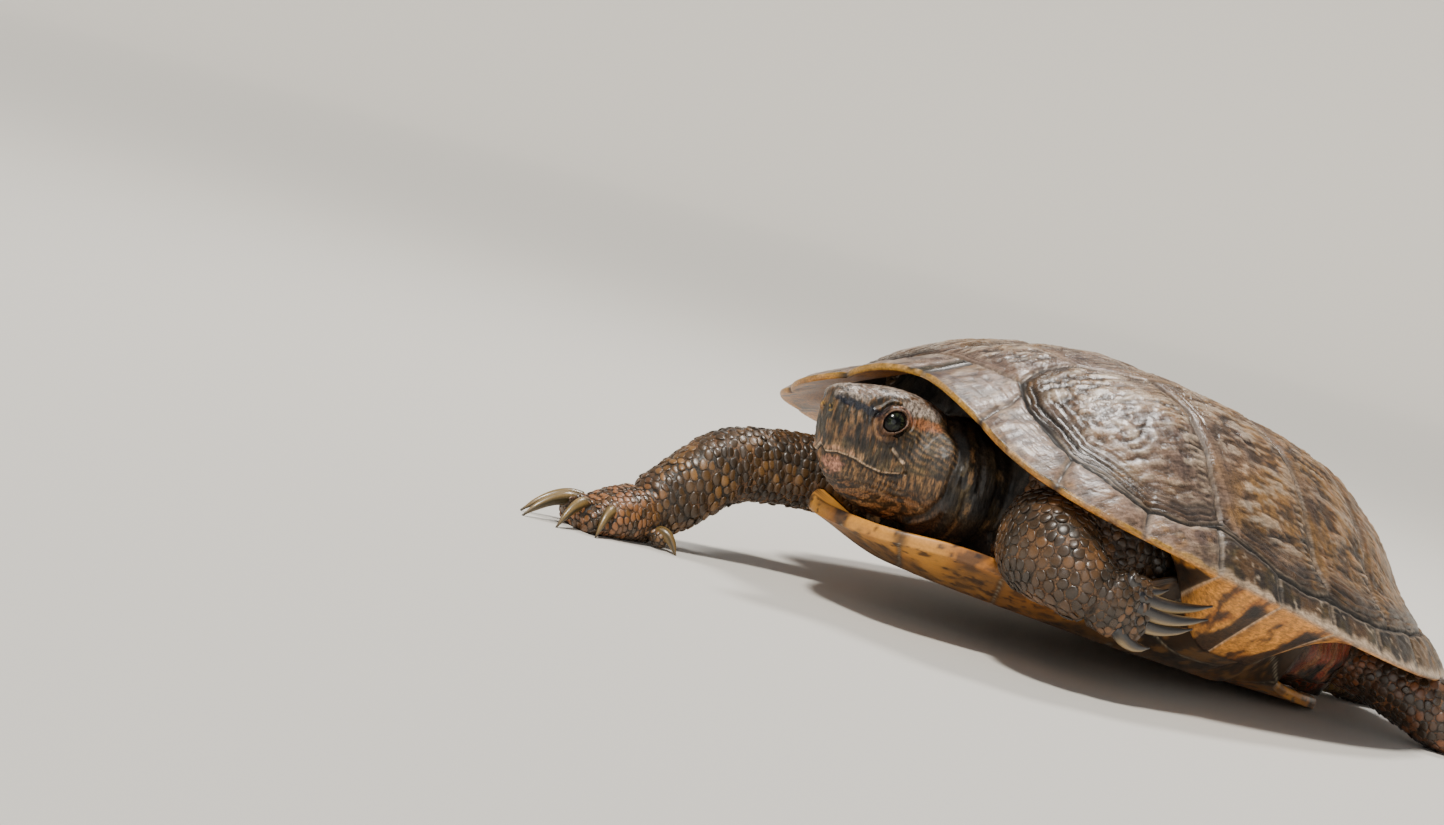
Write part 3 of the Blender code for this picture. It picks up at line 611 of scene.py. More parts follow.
def all_plates():
    """Every plate of the left half in the chart: outline, centre of growth and depths of its rings."""
    plates = {}
    for name, (outline, centre, cuts) in PLATES.items():
        outline = chart_of_plan(outline)
        plates[name] = (outline, chart_of_plan(np.array([centre]))[0], cuts)
    plates.update(marginal_plates())
    return plates


ALL_PLATES = all_plates()
PLATE_NAMES = list(ALL_PLATES)


def read_plates(points):
    """For places in the chart: which plate, the distance to the nearest seam, the share of the way in from
    the plate's edge to its centre of growth, how deep the rings cut there, and on costals the distance to
    the rear seam and the place along it."""
    plate = np.full(len(points), -1)
    seam = np.full(len(points), FAR)
    share = np.zeros(len(points))
    cut = np.zeros(len(points))
    along_rear = np.zeros(len(points))
    rear_distance = np.full(len(points), FAR)
    for number, (name, (outline, centre, cuts)) in enumerate(ALL_PLATES.items()):
        inside_here = inside(points, outline) & (plate < 0)
        plate[inside_here] = number
        ends = np.roll(outline, -1, axis=0)
        best = np.full(inside_here.sum(), 9.0)
        depth = np.zeros(inside_here.sum())
        inner = points[inside_here]
        near = np.linalg.norm(points - outline.mean(axis=0), axis=1) < PLATE_SPAN
        for (a, b), weight in zip(zip(outline, ends), cuts):
            if weight == 0:
                continue
            reach, _ = segment_distance(points[near], a, b)
            seam[near] = np.minimum(seam[near], reach)
            normal = np.array((b[1] - a[1], a[0] - b[0]))
            normal = normal / max(np.linalg.norm(normal), 1e-9)
            whole = abs((centre - a) @ normal)
            part = np.abs((inner - a) @ normal) / max(whole, 1.0)
            closer = part < best
            best = np.where(closer, part, best)
            depth = np.where(closer, weight, depth)
        share[inside_here] = best
        cut[inside_here] = depth
        if name.startswith("costal"):
            rear = [i for i, weight in enumerate(cuts) if weight == REAR_CUT][-2:]
            for i in rear:
                reach, along = segment_distance(inner, outline[i], ends[i])
                along = along + REAR_OFFSET * (i - rear[0])
                closer = reach < rear_distance[inside_here]
                rear_distance[inside_here] = np.where(closer, reach, rear_distance[inside_here])
                along_rear[inside_here] = np.where(closer, along, along_rear[inside_here])
    return plate, seam, share, cut, rear_distance, along_rear


FLARE = 5.0
BEADS_PER_MM = 2.9
RING_SHARES = (0.045, 0.085, 0.135, 0.19, 0.26, 0.34, 0.43, 0.54, 0.66)
RING_DEPTHS = (0.50, 0.62, 0.46, 0.34, 0.22, 0.20, 0.15, 0.12, 0.10)


def carapace_surface(m, rho, side):
    """Relief in millimetres, colour and roughness of the shell's upper side."""
    shape = np.broadcast(m, rho, side).shape
    m = np.broadcast_to(m, shape).ravel()
    rho = np.broadcast_to(rho, shape).ravel()
    side = np.broadcast_to(side, shape).ravel()
    body = dome(m, rho, side)
    flat = chart(m, rho)
    sheet = np.column_stack((flat * np.stack((side, np.ones_like(side)), -1), np.zeros(len(m))))
    wander = np.stack((fractal(sheet, 7.0, 3, 3), fractal(sheet, 7.0, 3, 4)), -1)
    flat = flat + 0.55 * wander
    flat[:, 0] = np.maximum(flat[:, 0], 1e-3)
    plate, seam, share, cut, rear_gap, rear_along = read_plates(flat)
    kind = np.array([n.split("_")[0] for n in PLATE_NAMES] + ["nuchal"])[plate]
    costal = kind == "costal"
    marginal = kind == "marginal"
    vertebral = kind == "vertebral"
    y = body[:, 1]

    # Growth rings, cut deepest along the lower and front sides of each plate
    ring_wave = share + 0.010 * fractal(sheet, 9.0, 3, 11) + 0.004 * noise(sheet, 2.0, 12)
    rings = np.zeros(len(m))
    for k, (place, depth) in enumerate(zip(RING_SHARES, RING_DEPTHS)):
        width = 0.011 + 0.004 * k
        broken = np.clip(0.75 + 0.7 * noise(sheet, 16.0, 40 + k), 0.0, 1.2)
        rings += depth * bump(ring_wave, place, width) * broken
    rings *= np.where(costal, cut, np.where(vertebral, 0.55 * cut, 0.0))
    fine_rings = (np.sin(ring_wave * 190.0) * np.where(costal | vertebral, 0.05, 0.0)
                  * (1 - smoothstep(0.2, 0.5, share)))
    marginal_rings = 0.05 * np.sin(share * 42.0 + 1.5 * noise(sheet, 8.0, 5)) * marginal

    # Short furrows that run along the shell, and beads beside the rear seam of each costal
    cracks = bell(fractal(sheet, (1.5, 7.0, 1.0), 2, 21), 0.16)
    cracks += 0.6 * bell(fractal(sheet + 50.0, (0.9, 4.0, 1.0), 2, 22), 0.16)
    rough_zone = smoothstep(-0.5, 0.5, fractal(sheet, 22.0, 2, 23)) * 0.75 + 0.25
    furrow = cracks * rough_zone * np.where(costal | vertebral, smoothstep(0.10, 0.30, share), 0.0)
    beaded_part = costal * (0.25 + 0.75 * smoothstep(-0.4, 0.5, noise(sheet, 13.0, 10)))
    bead_wave = rear_along * BEADS_PER_MM
    beads = (np.sin(bead_wave + 1.2 * noise(sheet, 5.0, 8)) * bump(rear_gap, 4.2 + noise(sheet, 12.0, 9), 1.7)
             * beaded_part)

    wrinkle = fractal(sheet + (1.4 * fractal(sheet, 9.0, 2, 25))[:, None], (1.5, 8.0, 1.0), 3, 24)
    worked = (np.where(costal | vertebral, smoothstep(0.06, 0.22, share), 0.0)
              * (0.55 + 0.45 * smoothstep(-0.6, 0.4, fractal(sheet, 17.0, 2, 26))))
    trench = costal * cut * (1.0 - smoothstep(1.0, 2.4, seam + 0.3 * noise(sheet, 4.0, 27)))
    groove = bell(seam, 0.42)
    shoulder = bell(seam, 2.4)
    swell = 1.0 - np.exp(-seam / 5.0)
    lumps = fractal(sheet, 11.0, 3, 31)
    relief = (0.5 * swell - 0.85 * groove - 0.20 * shoulder - 0.35 * trench - rings - fine_rings
              - marginal_rings - 0.34 * furrow + 0.24 * beads + 0.16 * lumps
              + 0.035 * fractal(sheet, 1.6, 2, 33) + 0.36 * wrinkle * worked + 0.20 * wrinkle * marginal)
    keel = bump(body[:, 0], 0.0, 5.0) * smoothstep(-45.0, 10.0, y) * (1.0 - 0.5 * smoothstep(60.0, 120.0, y))
    relief += 0.9 * keel * (1.0 - smoothstep(0.92, 1.0, rho))

    # Colour
    cloud = fractal(sheet, 14.0, 3, 51)
    mottle = fractal(sheet, 4.5, 3, 52)
    streak = fractal(sheet, (1.6, 6.0, 1.0), 3, 53)
    speck = fractal(sheet, 1.5, 2, 54)
    rearward = smoothstep(-15.0, 45.0, y)
    coat = Coat(HORN, "pink")
    coat.lay("tan", smoothstep(-0.6, 0.6, cloud + 0.8 * rearward))
    coat.lay("rust", 0.65 * rearward * smoothstep(-0.2, 0.9, mottle + 0.3 * cloud))
    coat.lay("brown", 0.6 * smoothstep(0.1, 0.9, streak + 0.4 * mottle))
    coat.lay("mauve", 0.55 * smoothstep(0.25, 0.9, fractal(sheet, 8.0, 2, 55)))
    coat.lay("black", np.clip(0.9 * furrow, 0, 0.85))
    # On the worked wrinkles: painted shade in the troughs, and painted glare on the ridges, a painted
    # highlight that fades towards the rear.
    low = smoothstep(0.05, 0.38, -wrinkle + 0.15 * mottle)
    high = smoothstep(0.10, 0.55, wrinkle + 0.2 * mottle)
    coat.lay("dark", 0.82 * low * worked)
    coat.lay("painted_glare", (0.55 - 0.30 * rearward) * high * worked)
    lower_band = costal * bump(share, 0.10, 0.10) * cut
    coat.lay("dark", np.clip(0.85 * lower_band * smoothstep(-0.9, 0.5, mottle + 0.4), 0, 0.85))
    beaded = bump(rear_gap, 4.4, 2.4) * beaded_part
    coat.lay("black", 0.75 * beaded * smoothstep(-0.1, 0.5, -np.sin(bead_wave)))
    coat.lay("line", 0.55 * beaded * smoothstep(0.2, 0.8, np.sin(bead_wave)))
    blotch = smoothstep(0.35, 0.8, fractal(sheet, (7.0, 10.0, 1.0), 3, 56))
    coat.lay("dark", 0.7 * blotch * (costal | vertebral) * smoothstep(-10.0, 30.0, y))

    # Marginals: pale mauve at the front, then dark olive with a brown heart
    front = marginal * (1.0 - smoothstep(3.3, 4.3, m + 0.25 * cloud))
    pale = Coat(HORN, "pink")
    pale.lay("mauve", smoothstep(0.0, 0.9, streak * 0.7 + cloud * 0.7))
    pale.lay("tan", 0.6 * smoothstep(0.1, 0.8, -mottle))
    # Painted highlight: streaks of painted glare.
    pale.lay("painted_glare", 0.30 * smoothstep(0.1, 0.8, fractal(sheet, (3.0, 9.0, 1.0), 2, 57)))
    pale.lay("mauve", 0.7 * smoothstep(0.25, 0.75, fractal(sheet, (5.0, 5.0, 1.0), 3, 59)))
    pale.lay("brown", 0.5 * smoothstep(0.15, 0.7, 0.8 * speck + 0.5 * streak))
    # Painted shade in the troughs of the wrinkles.
    pale.lay("dark", 0.6 * smoothstep(0.15, 0.6, -wrinkle + 0.2 * mottle))
    heart = Coat(HORN, "dark")
    heart.lay("olive", smoothstep(-0.4, 0.5, mottle + 0.4 * speck))
    heart.lay("brown", 0.7 * smoothstep(0.1, 0.9, mottle + bump(m % 1.0, 0.5, 0.25) - 0.2))
    heart.lay("black", 0.8 * (1.0 - smoothstep(1.0, 3.2, seam)))
    # Painted highlight: specks of painted glare near the rim.
    heart.lay("painted_glare", 0.35 * smoothstep(0.55, 0.9, speck) * smoothstep(0.9, 0.97, rho))
    tail_end = smoothstep(7.6, 8.6, m)
    heart.lay(mix(HORN["tan"], HORN["dark"], smoothstep(-0.3, 0.5, mottle)), 0.6 * tail_end)
    edged = mix(pale.colour, heart.colour, 1.0 - front)
    coat.colour = np.where(marginal[:, None] | (kind == "nuchal")[:, None], edged, coat.colour)

    # Seams: dark, with a pale worn thread beside them
    seam_dark = bell(seam, 0.5 + 0.25 * marginal) * np.clip(0.95 + 0.4 * cloud, 0.6, 1.0)
    coat.lay("black", 0.92 * trench)
    coat.lay("black", 0.95 * seam_dark)
    hairline = bell(seam, 0.24) * (costal | vertebral) * (1.0 - trench)
    coat.lay("line", 0.5 * hairline)
    thread = (0.7 * bump(seam, 0.95, 0.24)
              * smoothstep(-0.5, 0.4, fractal(sheet, 10.0, 2, 58) + 0.35 * rearward))
    coat.lay("line", 0.4 * thread)
    worn = smoothstep(0.985, 0.999, rho + 0.010 * mottle) * smoothstep(3.0, 5.0, m)
    coat.lay("line", 0.7 * worn)
    gold = smoothstep(0.994, 1.0, rho + 0.006 * mottle) * (1.0 - smoothstep(3.4, 4.4, m))
    coat.lay("edge", 0.45 * gold * smoothstep(0.6, 1.8, seam))
    ridge = keel * smoothstep(-0.4, 0.6, streak) * 0.6
    coat.lay("pink", ridge)
    # The grooves of the growth rings are darker.
    ring_groove_darkening = np.clip(rings, 0.0, 0.6) / 0.6
    coat.lay("black", 0.85 * ring_groove_darkening)

    roughness = 0.23 + 0.08 * cloud + 0.14 * rearward + 0.25 * np.clip(furrow, 0, 1)
    roughness = roughness + 0.4 * bell(seam, 1.1) + np.where(marginal, 0.10, 0.0)
    flow = sheet * (1.0, 0.22, 1.0)
    return (relief.reshape(shape), coat.colour.reshape(*shape, 3), roughness.reshape(shape),
            flow.reshape(*shape, 3))


def grid_normals(points):
    """Upward normals of a grid that closes on itself along its columns."""
    down = np.gradient(points, axis=0)
    across = np.roll(points, -1, axis=1) - np.roll(points, 1, axis=1)
    normal = unit(np.cross(down, across))
    return normal * np.sign(normal[..., 2:3])


def carapace():
    """The upper shell: its outer face, the rim's round, the marginals' undersides and the inner face."""
    m, side = around_shell(12 * STEPS + 1)
    outer = dome(m[None, :], OUTER_ROWS[:, None], side[None, :])
    relief, tint, rough, flow = carapace_surface(m[None, :], OUTER_ROWS[:, None], side[None, :])
    relief *= smoothstep(0.0, 0.04, OUTER_ROWS)[:, None]
    relief *= 1.0 - 0.75 * smoothstep(0.97, 1.0, OUTER_ROWS)[:, None]
    outer = outer + grid_normals(outer) * relief[..., None]

    # The rim turns under in a small round, then the underside runs in to the lip
    lip = lip_point(m, side)
    lip[:, 2] -= FLARE * smoothstep(1.8, 2.8, m) * (1.0 - smoothstep(4.0, 4.8, m))
    edge_top = outer[-1]
    edge_low = dome(m, 0.995, side) - (0, 0, RIM_EDGE)
    inward = unit(np.column_stack((lip[:, :2] - edge_low[:, :2], np.zeros(len(m)))))
    edge_rows = []
    for turn in np.linspace(0.2, 1.0, 5):
        bulge = 0.35 * math.sin(math.pi * turn)
        edge_rows.append(edge_top + (edge_low - edge_top) * turn - inward * bulge)
    under_rows = []
    depth_in = np.linspace(0.04, 1.0, 34)
    under_relief, under_tint = marginal_underside(m, side, depth_in)
    for t, lift in zip(depth_in, under_relief):
        row = edge_low + (lip - edge_low) * t
        row[:, 2] += MARGINAL_CROWN * 4.0 * t * (1.0 - t) + lift
        under_rows.append(row)
    step = lip + np.stack((np.zeros(len(m)), np.zeros(len(m)), step_height(m)), -1)
    step_rows = [lip + (step - lip) * t for t in (0.5, 1.0)]
    inner_rows = []
    for rho, drop in ((0.80, 4.6), (0.70, 4.2), (0.5, 3.8), (0.25, 3.5), (0.05, SHELL_WALL)):
        row = dome(m, np.minimum(rho + 0.06 * bridge_share(m), inset(m) + 0.02), side)
        row[:, 2] -= drop
        inner_rows.append(row)
    rings = [*outer, *edge_rows, *under_rows, *step_rows, *inner_rows]
    top = outer[0].mean(axis=0) + (0, 0, 0.02)
    obj = closed_grid("carapace_shell", top, rings, (*AXIS, TOP_HEIGHT - SHELL_WALL))

    edge_count = len(edge_rows)
    rim_tint = [mix(tint[-1], under_tint[0], t) for t in np.linspace(0.1, 0.9, edge_count)]
    to_seam = np.minimum(m % 1.0, 1.0 - m % 1.0)
    gold = (1.0 - smoothstep(3.2, 4.2, m)) * smoothstep(0.02, 0.07, to_seam)
    arc = np.column_stack((m * MARGINAL_MEAN, 40.0 * side, np.zeros(len(m))))
    gold = gold * smoothstep(-0.5, 0.4, fractal(arc, 4.0, 3, 64)) * (1.0 - 0.7 * smoothstep(0.5, 1.2, m))
    gold_shares = (0.0, 0.0, 0.25, 0.6, 0.85)
    rim_tint = [mix(row, HORN["edge"], gold * share) for row, share in zip(rim_tint, gold_shares)]
    notch = bell(to_seam * MARGINAL_MEAN, 1.3) * smoothstep(0.5, 0.9, m) * (1.0 - smoothstep(2.4, 3.4, m))
    rim_tint = [mix(row, HORN["black"], 0.85 * notch) for row in rim_tint]
    hidden_rows = len(step_rows) + len(inner_rows)
    colours = np.concatenate([tint.reshape(-1, 3), *rim_tint, under_tint.reshape(-1, 3),
                              np.tile(HORN["smoke"], (hidden_rows * len(m), 1)),
                              tint[:1, 0], [HORN["smoke"]]])
    roughness = np.concatenate([rough.ravel(), np.full(edge_count * len(m), 0.4),
                                np.full(under_tint.shape[0] * len(m), 0.42),
                                np.full(hidden_rows * len(m), 0.6), (0.4, 0.6)])
    rest = np.tile(flow[-1], (edge_count + under_tint.shape[0] + hidden_rows, 1))
    below = np.repeat(np.arange(len(rest) // len(m)), len(m))[:, None] * (0.0, 0.0, 0.5)
    paint(obj, colours, roughness, np.concatenate((flow.reshape(-1, 3), rest + below, flow[:1, 0], rest[:1])))
    horn = painted_material("worn_horn", 0.55, 0.09, speckle=0.20, coat=0.12, coat_roughness=0.12,
                            specular=0.42, streaks=0.36, streak_size=0.7)
    dress(obj, horn, "carapace", "carapace")


def marginal_underside(m, side, depth_in):
    """The undersides: amber horn with a dark band at each rear seam, and a fine groove on the seam."""
    m = np.asarray(m)[None, :]
    t = depth_in[:, None]
    arc = np.interp(m, np.arange(13), OUTLINE[3])
    sheet = np.stack(np.broadcast_arrays(arc, t * 16.0, 40.0 * np.asarray(side)[None, :]), -1)
    cloud = fractal(sheet, 6.0, 3, 62)
    speck = fractal(sheet, 2.2, 3, 63)
    coat = Coat(HORN, "under")
    coat.lay("amber", smoothstep(-0.2, 0.8, cloud))
    coat.lay("smoke", 0.80 * smoothstep(0.10, 0.75, cloud * 0.7 + speck * 0.6))
    heart = np.exp(-(((m % 1.0) - 0.45) / 0.2) ** 2 - ((t - 0.5) / 0.3) ** 2)
    coat.lay("smoke", 0.75 * heart * smoothstep(-0.4, 0.5, speck + 0.4 * cloud))
    lean = (m % 1.0) + 0.05 * fractal(sheet, 5.0, 3, 61) + 0.14 * (2.0 * np.abs(t - 0.45)) ** 2
    fresh = smoothstep(0.02, 0.18, m % 1.0)
    band = smoothstep(0.74, 0.79, lean) * smoothstep(2.4, 3.0, m)
    coat.lay("black", 0.93 * band * smoothstep(0.06, 0.16, t))
    coat.lay("smoke", 0.6 * (1.0 - fresh) * smoothstep(-0.3, 0.4, speck))
    inner = smoothstep(0.7, 1.0, t + 0.1 * cloud)
    coat.lay("smoke", 0.45 * inner)
    front = 1.0 - smoothstep(2.6, 3.6, m)
    coat.lay(mix(HORN["amber"], HORN["smoke"], 0.35), front * smoothstep(0.12, 0.5, t) * 0.8)
    brim = 0.11 - 0.07 * smoothstep(0.5, 1.2, m)
    coat.lay("edge", front * (1.0 - smoothstep(0.2 * brim, brim, t)))
    near = np.minimum(m % 1.0, 1.0 - m % 1.0) * MARGINAL_MEAN
    groove = bell(near, 0.45)
    coat.lay("line", 0.75 * groove * smoothstep(2.4, 3.2, m))
    relief = 0.30 * groove + 0.05 * cloud
    return np.broadcast_to(relief, coat.colour.shape[:2]), coat.colour


# ---------------------------------------------------------------- plastron

GULAR_EDGE = ((0.0, -73.0, 6.0), (12.0, -72.5, 6.2), (20.0, -68.5, 7.0), (27.0, -61.5, 8.2),
              (33.0, -53.0, 8.6), (37.5, -44.0, 8.0), (42.0, -35.5, 7.0), (48.0, -28.5, 8.0))
ANAL_EDGE = ((53.0, 49.0, 5.5), (46.5, 56.0, 3.2), (44.0, 65.0, 1.8), (41.0, 78.0, 1.1), (34.5, 91.0, 0.6),
             (25.5, 103.0, 0.2), (15.5, 111.0, 0.5), (7.0, 109.0, 0.4), (0.0, 102.0, 0.1))
BRIDGE_MARGINALS = (4.0, 7.0)
PLASTRON_WALL = 3.8
ANAL_THINNING = 0.8
SEAM_ROOM = 2.0 * GAP
SEAM_THINNING = 0.5
PLASTRON_FLAT = 0.65
WALL_RISES = (0.10, 0.18, 0.26, 0.34, 0.42, 0.55, 0.9)
PLASTRON_ROWS = np.concatenate((np.linspace(0.02, 0.66, 66), np.linspace(0.66, 1.0, 50)[1:]))

LOWER_HORN = {
    "gold": srgb(198, 136, 52), "amber": srgb(168, 106, 40), "clay": srgb(128, 88, 48),
    "olive": srgb(96, 72, 40), "brown": srgb(66, 46, 30), "fleck": srgb(40, 28, 20),
    "blotch": srgb(44, 36, 30), "shade": srgb(34, 29, 25), "rust": srgb(112, 80, 44),
    "seam": srgb(30, 24, 20), "thread": srgb(190, 176, 150),
}

# Seams of the left half, each a line in plan
PLASTRON_SEAMS = (
    ((0.0, -49.0), (11.0, -59.0), (19.0, -69.5)),
    ((0.0, -28.0), (18.0, -30.0), (36.0, -46.5)),
    ((0.0, 2.0), (26.0, 0.0), (50.0, -9.0), (62.0, -7.0)),
    ((0.0, 46.0), (20.0, 44.0), (40.0, 46.0), (52.0, 51.0)),
    ((0.0, 76.0), (16.0, 79.0), (42.0, 87.0)),
    ((0.0, -74.0), (0.0, 104.0)),
    ((50.0, -9.0), (53.0, 12.0), (52.0, 51.0)),
)


def bowl(s):
    """How far the plastron has risen towards its edge, 1 at the edge."""
    return smoothstep(PLASTRON_FLAT, 1.12, s) / smoothstep(PLASTRON_FLAT, 1.12, 1.0)


def plastron_edge():
    """The left edge, front to rear: x, y, height of its lower side, and thickness."""
    bridge = []
    for m in np.linspace(*BRIDGE_MARGINALS, 10):
        x, y, z = lip_point(m, 1.0)
        bridge.append((x - SEAM_ROOM, y, z, step_height(m) - SEAM_THINNING))
    front = [(*point, PLASTRON_WALL) for point in GULAR_EDGE]
    rear = [(*point, PLASTRON_WALL - ANAL_THINNING) for point in ANAL_EDGE]
    return np.array(front + bridge + rear)


def smooth_edge():
    """The edge with many points, rounded between its corners without standing out beyond them."""
    edge = plastron_edge()
    dense = np.array([[np.interp(t, np.arange(len(edge)), edge[:, k]) for k in range(4)]
                      for t in np.linspace(0, len(edge) - 1, 300)])
    for _ in range(14):
        dense[1:-1] = 0.5 * dense[1:-1] + 0.25 * (dense[:-2] + dense[2:])
    return dense


def plastron_surface(x, y, rise):
    """Relief, colour and roughness of the plastron's lower side; the rise is 1 at its edge."""
    flat = np.stack((np.abs(x), y), -1).reshape(-1, 2)
    sheet = np.column_stack((x.ravel(), y.ravel(), 9.0 * rise.ravel()))
    flat = flat + 0.5 * np.stack((fractal(sheet, 8.0, 3, 71), fractal(sheet, 8.0, 3, 72)), -1)
    seam = np.full(len(flat), 99.0)
    for line in PLASTRON_SEAMS:
        for a, b in zip(line, line[1:]):
            seam = np.minimum(seam, segment_distance(flat, np.array(a), np.array(b))[0])
    cloud = fractal(sheet, 13.0, 3, 73)
    mottle = fractal(sheet, 4.0, 3, 74)
    speck = fractal(sheet, (1.8, 2.8, 1.8), 2, 75)
    ventral = 1.0 - smoothstep(0.25, 0.75, rise.ravel())
    under_front = (1.0 - smoothstep(0.85, 1.02, rise.ravel())) * (1.0 - smoothstep(-48.0, -30.0, y.ravel()))
    coat = Coat(LOWER_HORN, "gold")
    coat.lay("amber", smoothstep(-0.6, 0.7, cloud))
    # Painted shade: the flat lower face is darker, and the front lobe's underside darker still, with olive.
    coat.lay("clay", 0.65 * ventral)
    coat.lay("olive", 0.65 * under_front * smoothstep(-0.6, 0.3, cloud + 0.5 * mottle))
    coat.lay("brown", 0.75 * smoothstep(0.18, 0.70, mottle + 0.35 * cloud))
    coat.lay("fleck", 0.85 * smoothstep(0.52, 0.80, speck))
    big = smoothstep(0.1, 0.6, fractal(sheet, 26.0, 2, 76)) * ventral
    coat.lay("blotch", 0.6 * big)
    wide = np.abs(x).ravel()
    bridge = smoothstep(38.0, 50.0, wide + 4.0 * mottle) * smoothstep(-26.0, -14.0, flat[:, 1])
    bridge = bridge * (1.0 - smoothstep(56.0, 62.0, flat[:, 1]))
    shadow = mix(LOWER_HORN["shade"], LOWER_HORN["rust"], smoothstep(0.15, 0.8, mottle + 0.4 * speck))
    coat.lay(shadow, 0.95 * bridge)
    dark = bell(seam, 0.8 + 1.6 * smoothstep(0.90, 1.05, rise.ravel()) * (1.0 + 0.5 * mottle))
    coat.lay("seam", 0.85 * dark)
    thread = bell(seam, 0.18) * (1.0 - smoothstep(0.98, 1.06, rise.ravel()))
    coat.lay("thread", 0.5 * thread)
    relief = -0.32 * bell(seam, 0.5) + 0.06 * cloud
    relief += 0.03 * np.sin(seam * 3.0 + mottle) * np.exp(-seam / 7.0)
    return relief.reshape(x.shape), coat.colour.reshape(*x.shape, 3), (0.42 + 0.08 * cloud).reshape(x.shape)


def plastron():
    """The lower shell: its lower face, the round of its edge and its upper face."""
    left = smooth_edge()
    right = left[-2:0:-1] * (-1, 1, 1, 1)
    edge = np.vstack((left, right))
    s = PLASTRON_ROWS[:, None]
    plan = AXIS + (edge[None, :, :2] - AXIS) * s[..., None]
    height = edge[None, :, 2] * bowl(s)
    rise = bowl(s) * np.ones(len(edge))
    relief, tint, rough = plastron_surface(plan[..., 0], plan[..., 1], rise)
    turned = np.repeat(edge[None], len(WALL_RISES), axis=0)
    wall_rise = 1.0 + np.array(WALL_RISES)[:, None] * np.ones(len(edge))
    wall_tint = plastron_surface(turned[..., 0], turned[..., 1], wall_rise)[1]
    lower = np.concatenate((plan, (height - relief)[..., None]), -1)
    rows = list(lower)
    turns = np.linspace(0.15, 0.85, 5)
    outward = unit(np.column_stack((edge[:, :2] - AXIS, np.zeros(len(edge)))))
    for turn in turns:
        row = np.column_stack((edge[:, :2], edge[:, 2] + edge[:, 3] * turn))
        rows.append(row + outward * (0.55 * math.sin(math.pi * turn) - 0.35))
    upper_s = (0.995, 0.93, 0.82, 0.68, 0.4, 0.05)
    for share in upper_s:
        row = AXIS + (edge[:, :2] - AXIS) * share
        top = edge[:, 2] * bowl(share) + PLASTRON_WALL + (edge[:, 3] - PLASTRON_WALL) * bowl(share)
        rows.append(np.column_stack((row, top)))
    obj = closed_grid("plastron_shell", lower[0].mean(axis=0), rows, (*AXIS, PLASTRON_WALL))
    count = len(edge)
    colours = np.concatenate([tint.reshape(-1, 3), wall_tint.reshape(-1, 3),
                              np.tile(HORN["smoke"], (count * (len(upper_s) - 2), 1)),
                              tint[0, :1], [HORN["smoke"]]])
    edge_rough = np.full(count * (len(turns) + len(upper_s)), 0.45)
    roughness = np.concatenate([rough.ravel(), edge_rough, (0.45, 0.5)])
    paint(obj, colours, roughness)
    horn = painted_material("plastron_horn", 0.7, 0.06, speckle=0.14, coat=0.15, coat_roughness=0.25)
    dress(obj, horn, "plastron", "plastron")


# ---------------------------------------------------------------- flesh: tables

HEAD_STATIONS = (
    (-1.8, 12.4, 3.2, 3.6), (-1.0, 15.4, -3.0, 4.8), (1.6, 16.6, -6.4, 5.9), (5.0, 17.1, -9.3, 7.4),
    (10.0, 17.6, -11.9, 9.1), (15.0, 17.8, -13.6, 10.4), (20.0, 17.4, -14.7, 11.6), (25.0, 16.2, -15.2, 12.9),
    (30.0, 14.0, -15.4, 13.6), (35.0, 10.6, -14.2, 13.2), (40.0, 8.2, -11.5, 11.6),
)
HEAD_POWER = 2.5
HEAD_RINGS = 60
HEAD_SIDES = 72
JAW_TAPER = 0.10
NOSE_TIP = (-2.0, 0.0, 6.6)
NAPE = (41.5, 0.0, -1.2)
NECK = ((2.0, -18.0, 28.0, 17.0, 14.0), (3.5, -32.0, 27.5, 20.0, 16.0), (4.5, -44.0, 26.5, 21.0, 17.0),
        (2.5, -52.5, 25.5, 19.0, 16.5), (0.0, -57.0, 25.0, 15.5, 14.0))
TAIL = ((0.0, 94.0, 17.0, 11.5, 8.5), (0.5, 111.0, 14.5, 10.5, 8.5), (2.5, 127.0, 12.0, 8.5, 7.2),
        (6.0, 143.0, 9.6, 6.0, 5.2), (10.5, 158.0, 9.0, 3.8, 3.4), (16.0, 171.0, 8.8, 1.9, 1.7))
LIMBS = {
    "foreleg_right": ((-30.0, -34.0, 17.0, 11.0, 10.5), (-39.0, -49.0, 15.5, 10.5, 10.5),
                      (-45.0, -63.0, 13.0, 10.0, 10.2), (-48.5, -76.0, 8.5, 9.8, 10.2),
                      (-51.0, -86.0, -2.5, 9.0, 9.6), (-52.0, -91.5, -8.0, 8.8, 8.8)),
    "foreleg_left": ((32.0, -30.0, 21.0, 11.0, 11.0), (41.0, -42.0, 21.0, 12.5, 13.0),
                     (48.2, -48.0, 20.0, 12.2, 14.0), (55.0, -49.0, 17.2, 10.6, 12.2),
                     (60.5, -46.5, 14.6, 8.6, 9.8), (63.6, -43.0, 13.2, 7.2, 8.6)),
    "hindleg_left": ((27.0, 82.0, 19.0, 11.0, 7.8), (41.0, 94.0, 17.5, 10.6, 8.6),
                     (53.5, 104.0, 14.8, 10.8, 9.8), (61.0, 111.0, 10.5, 9.6, 8.6),
                     (65.0, 117.0, 7.4, 8.4, 6.4)),
    "hindleg_right": ((-27.0, 80.0, 19.0, 11.0, 7.8), (-41.0, 89.5, 17.5, 10.6, 8.6),
                      (-54.0, 97.0, 14.5, 10.8, 9.8), (-64.0, 103.0, 10.5, 9.6, 8.6),
                      (-70.5, 107.5, 7.2, 8.4, 6.4)),
}
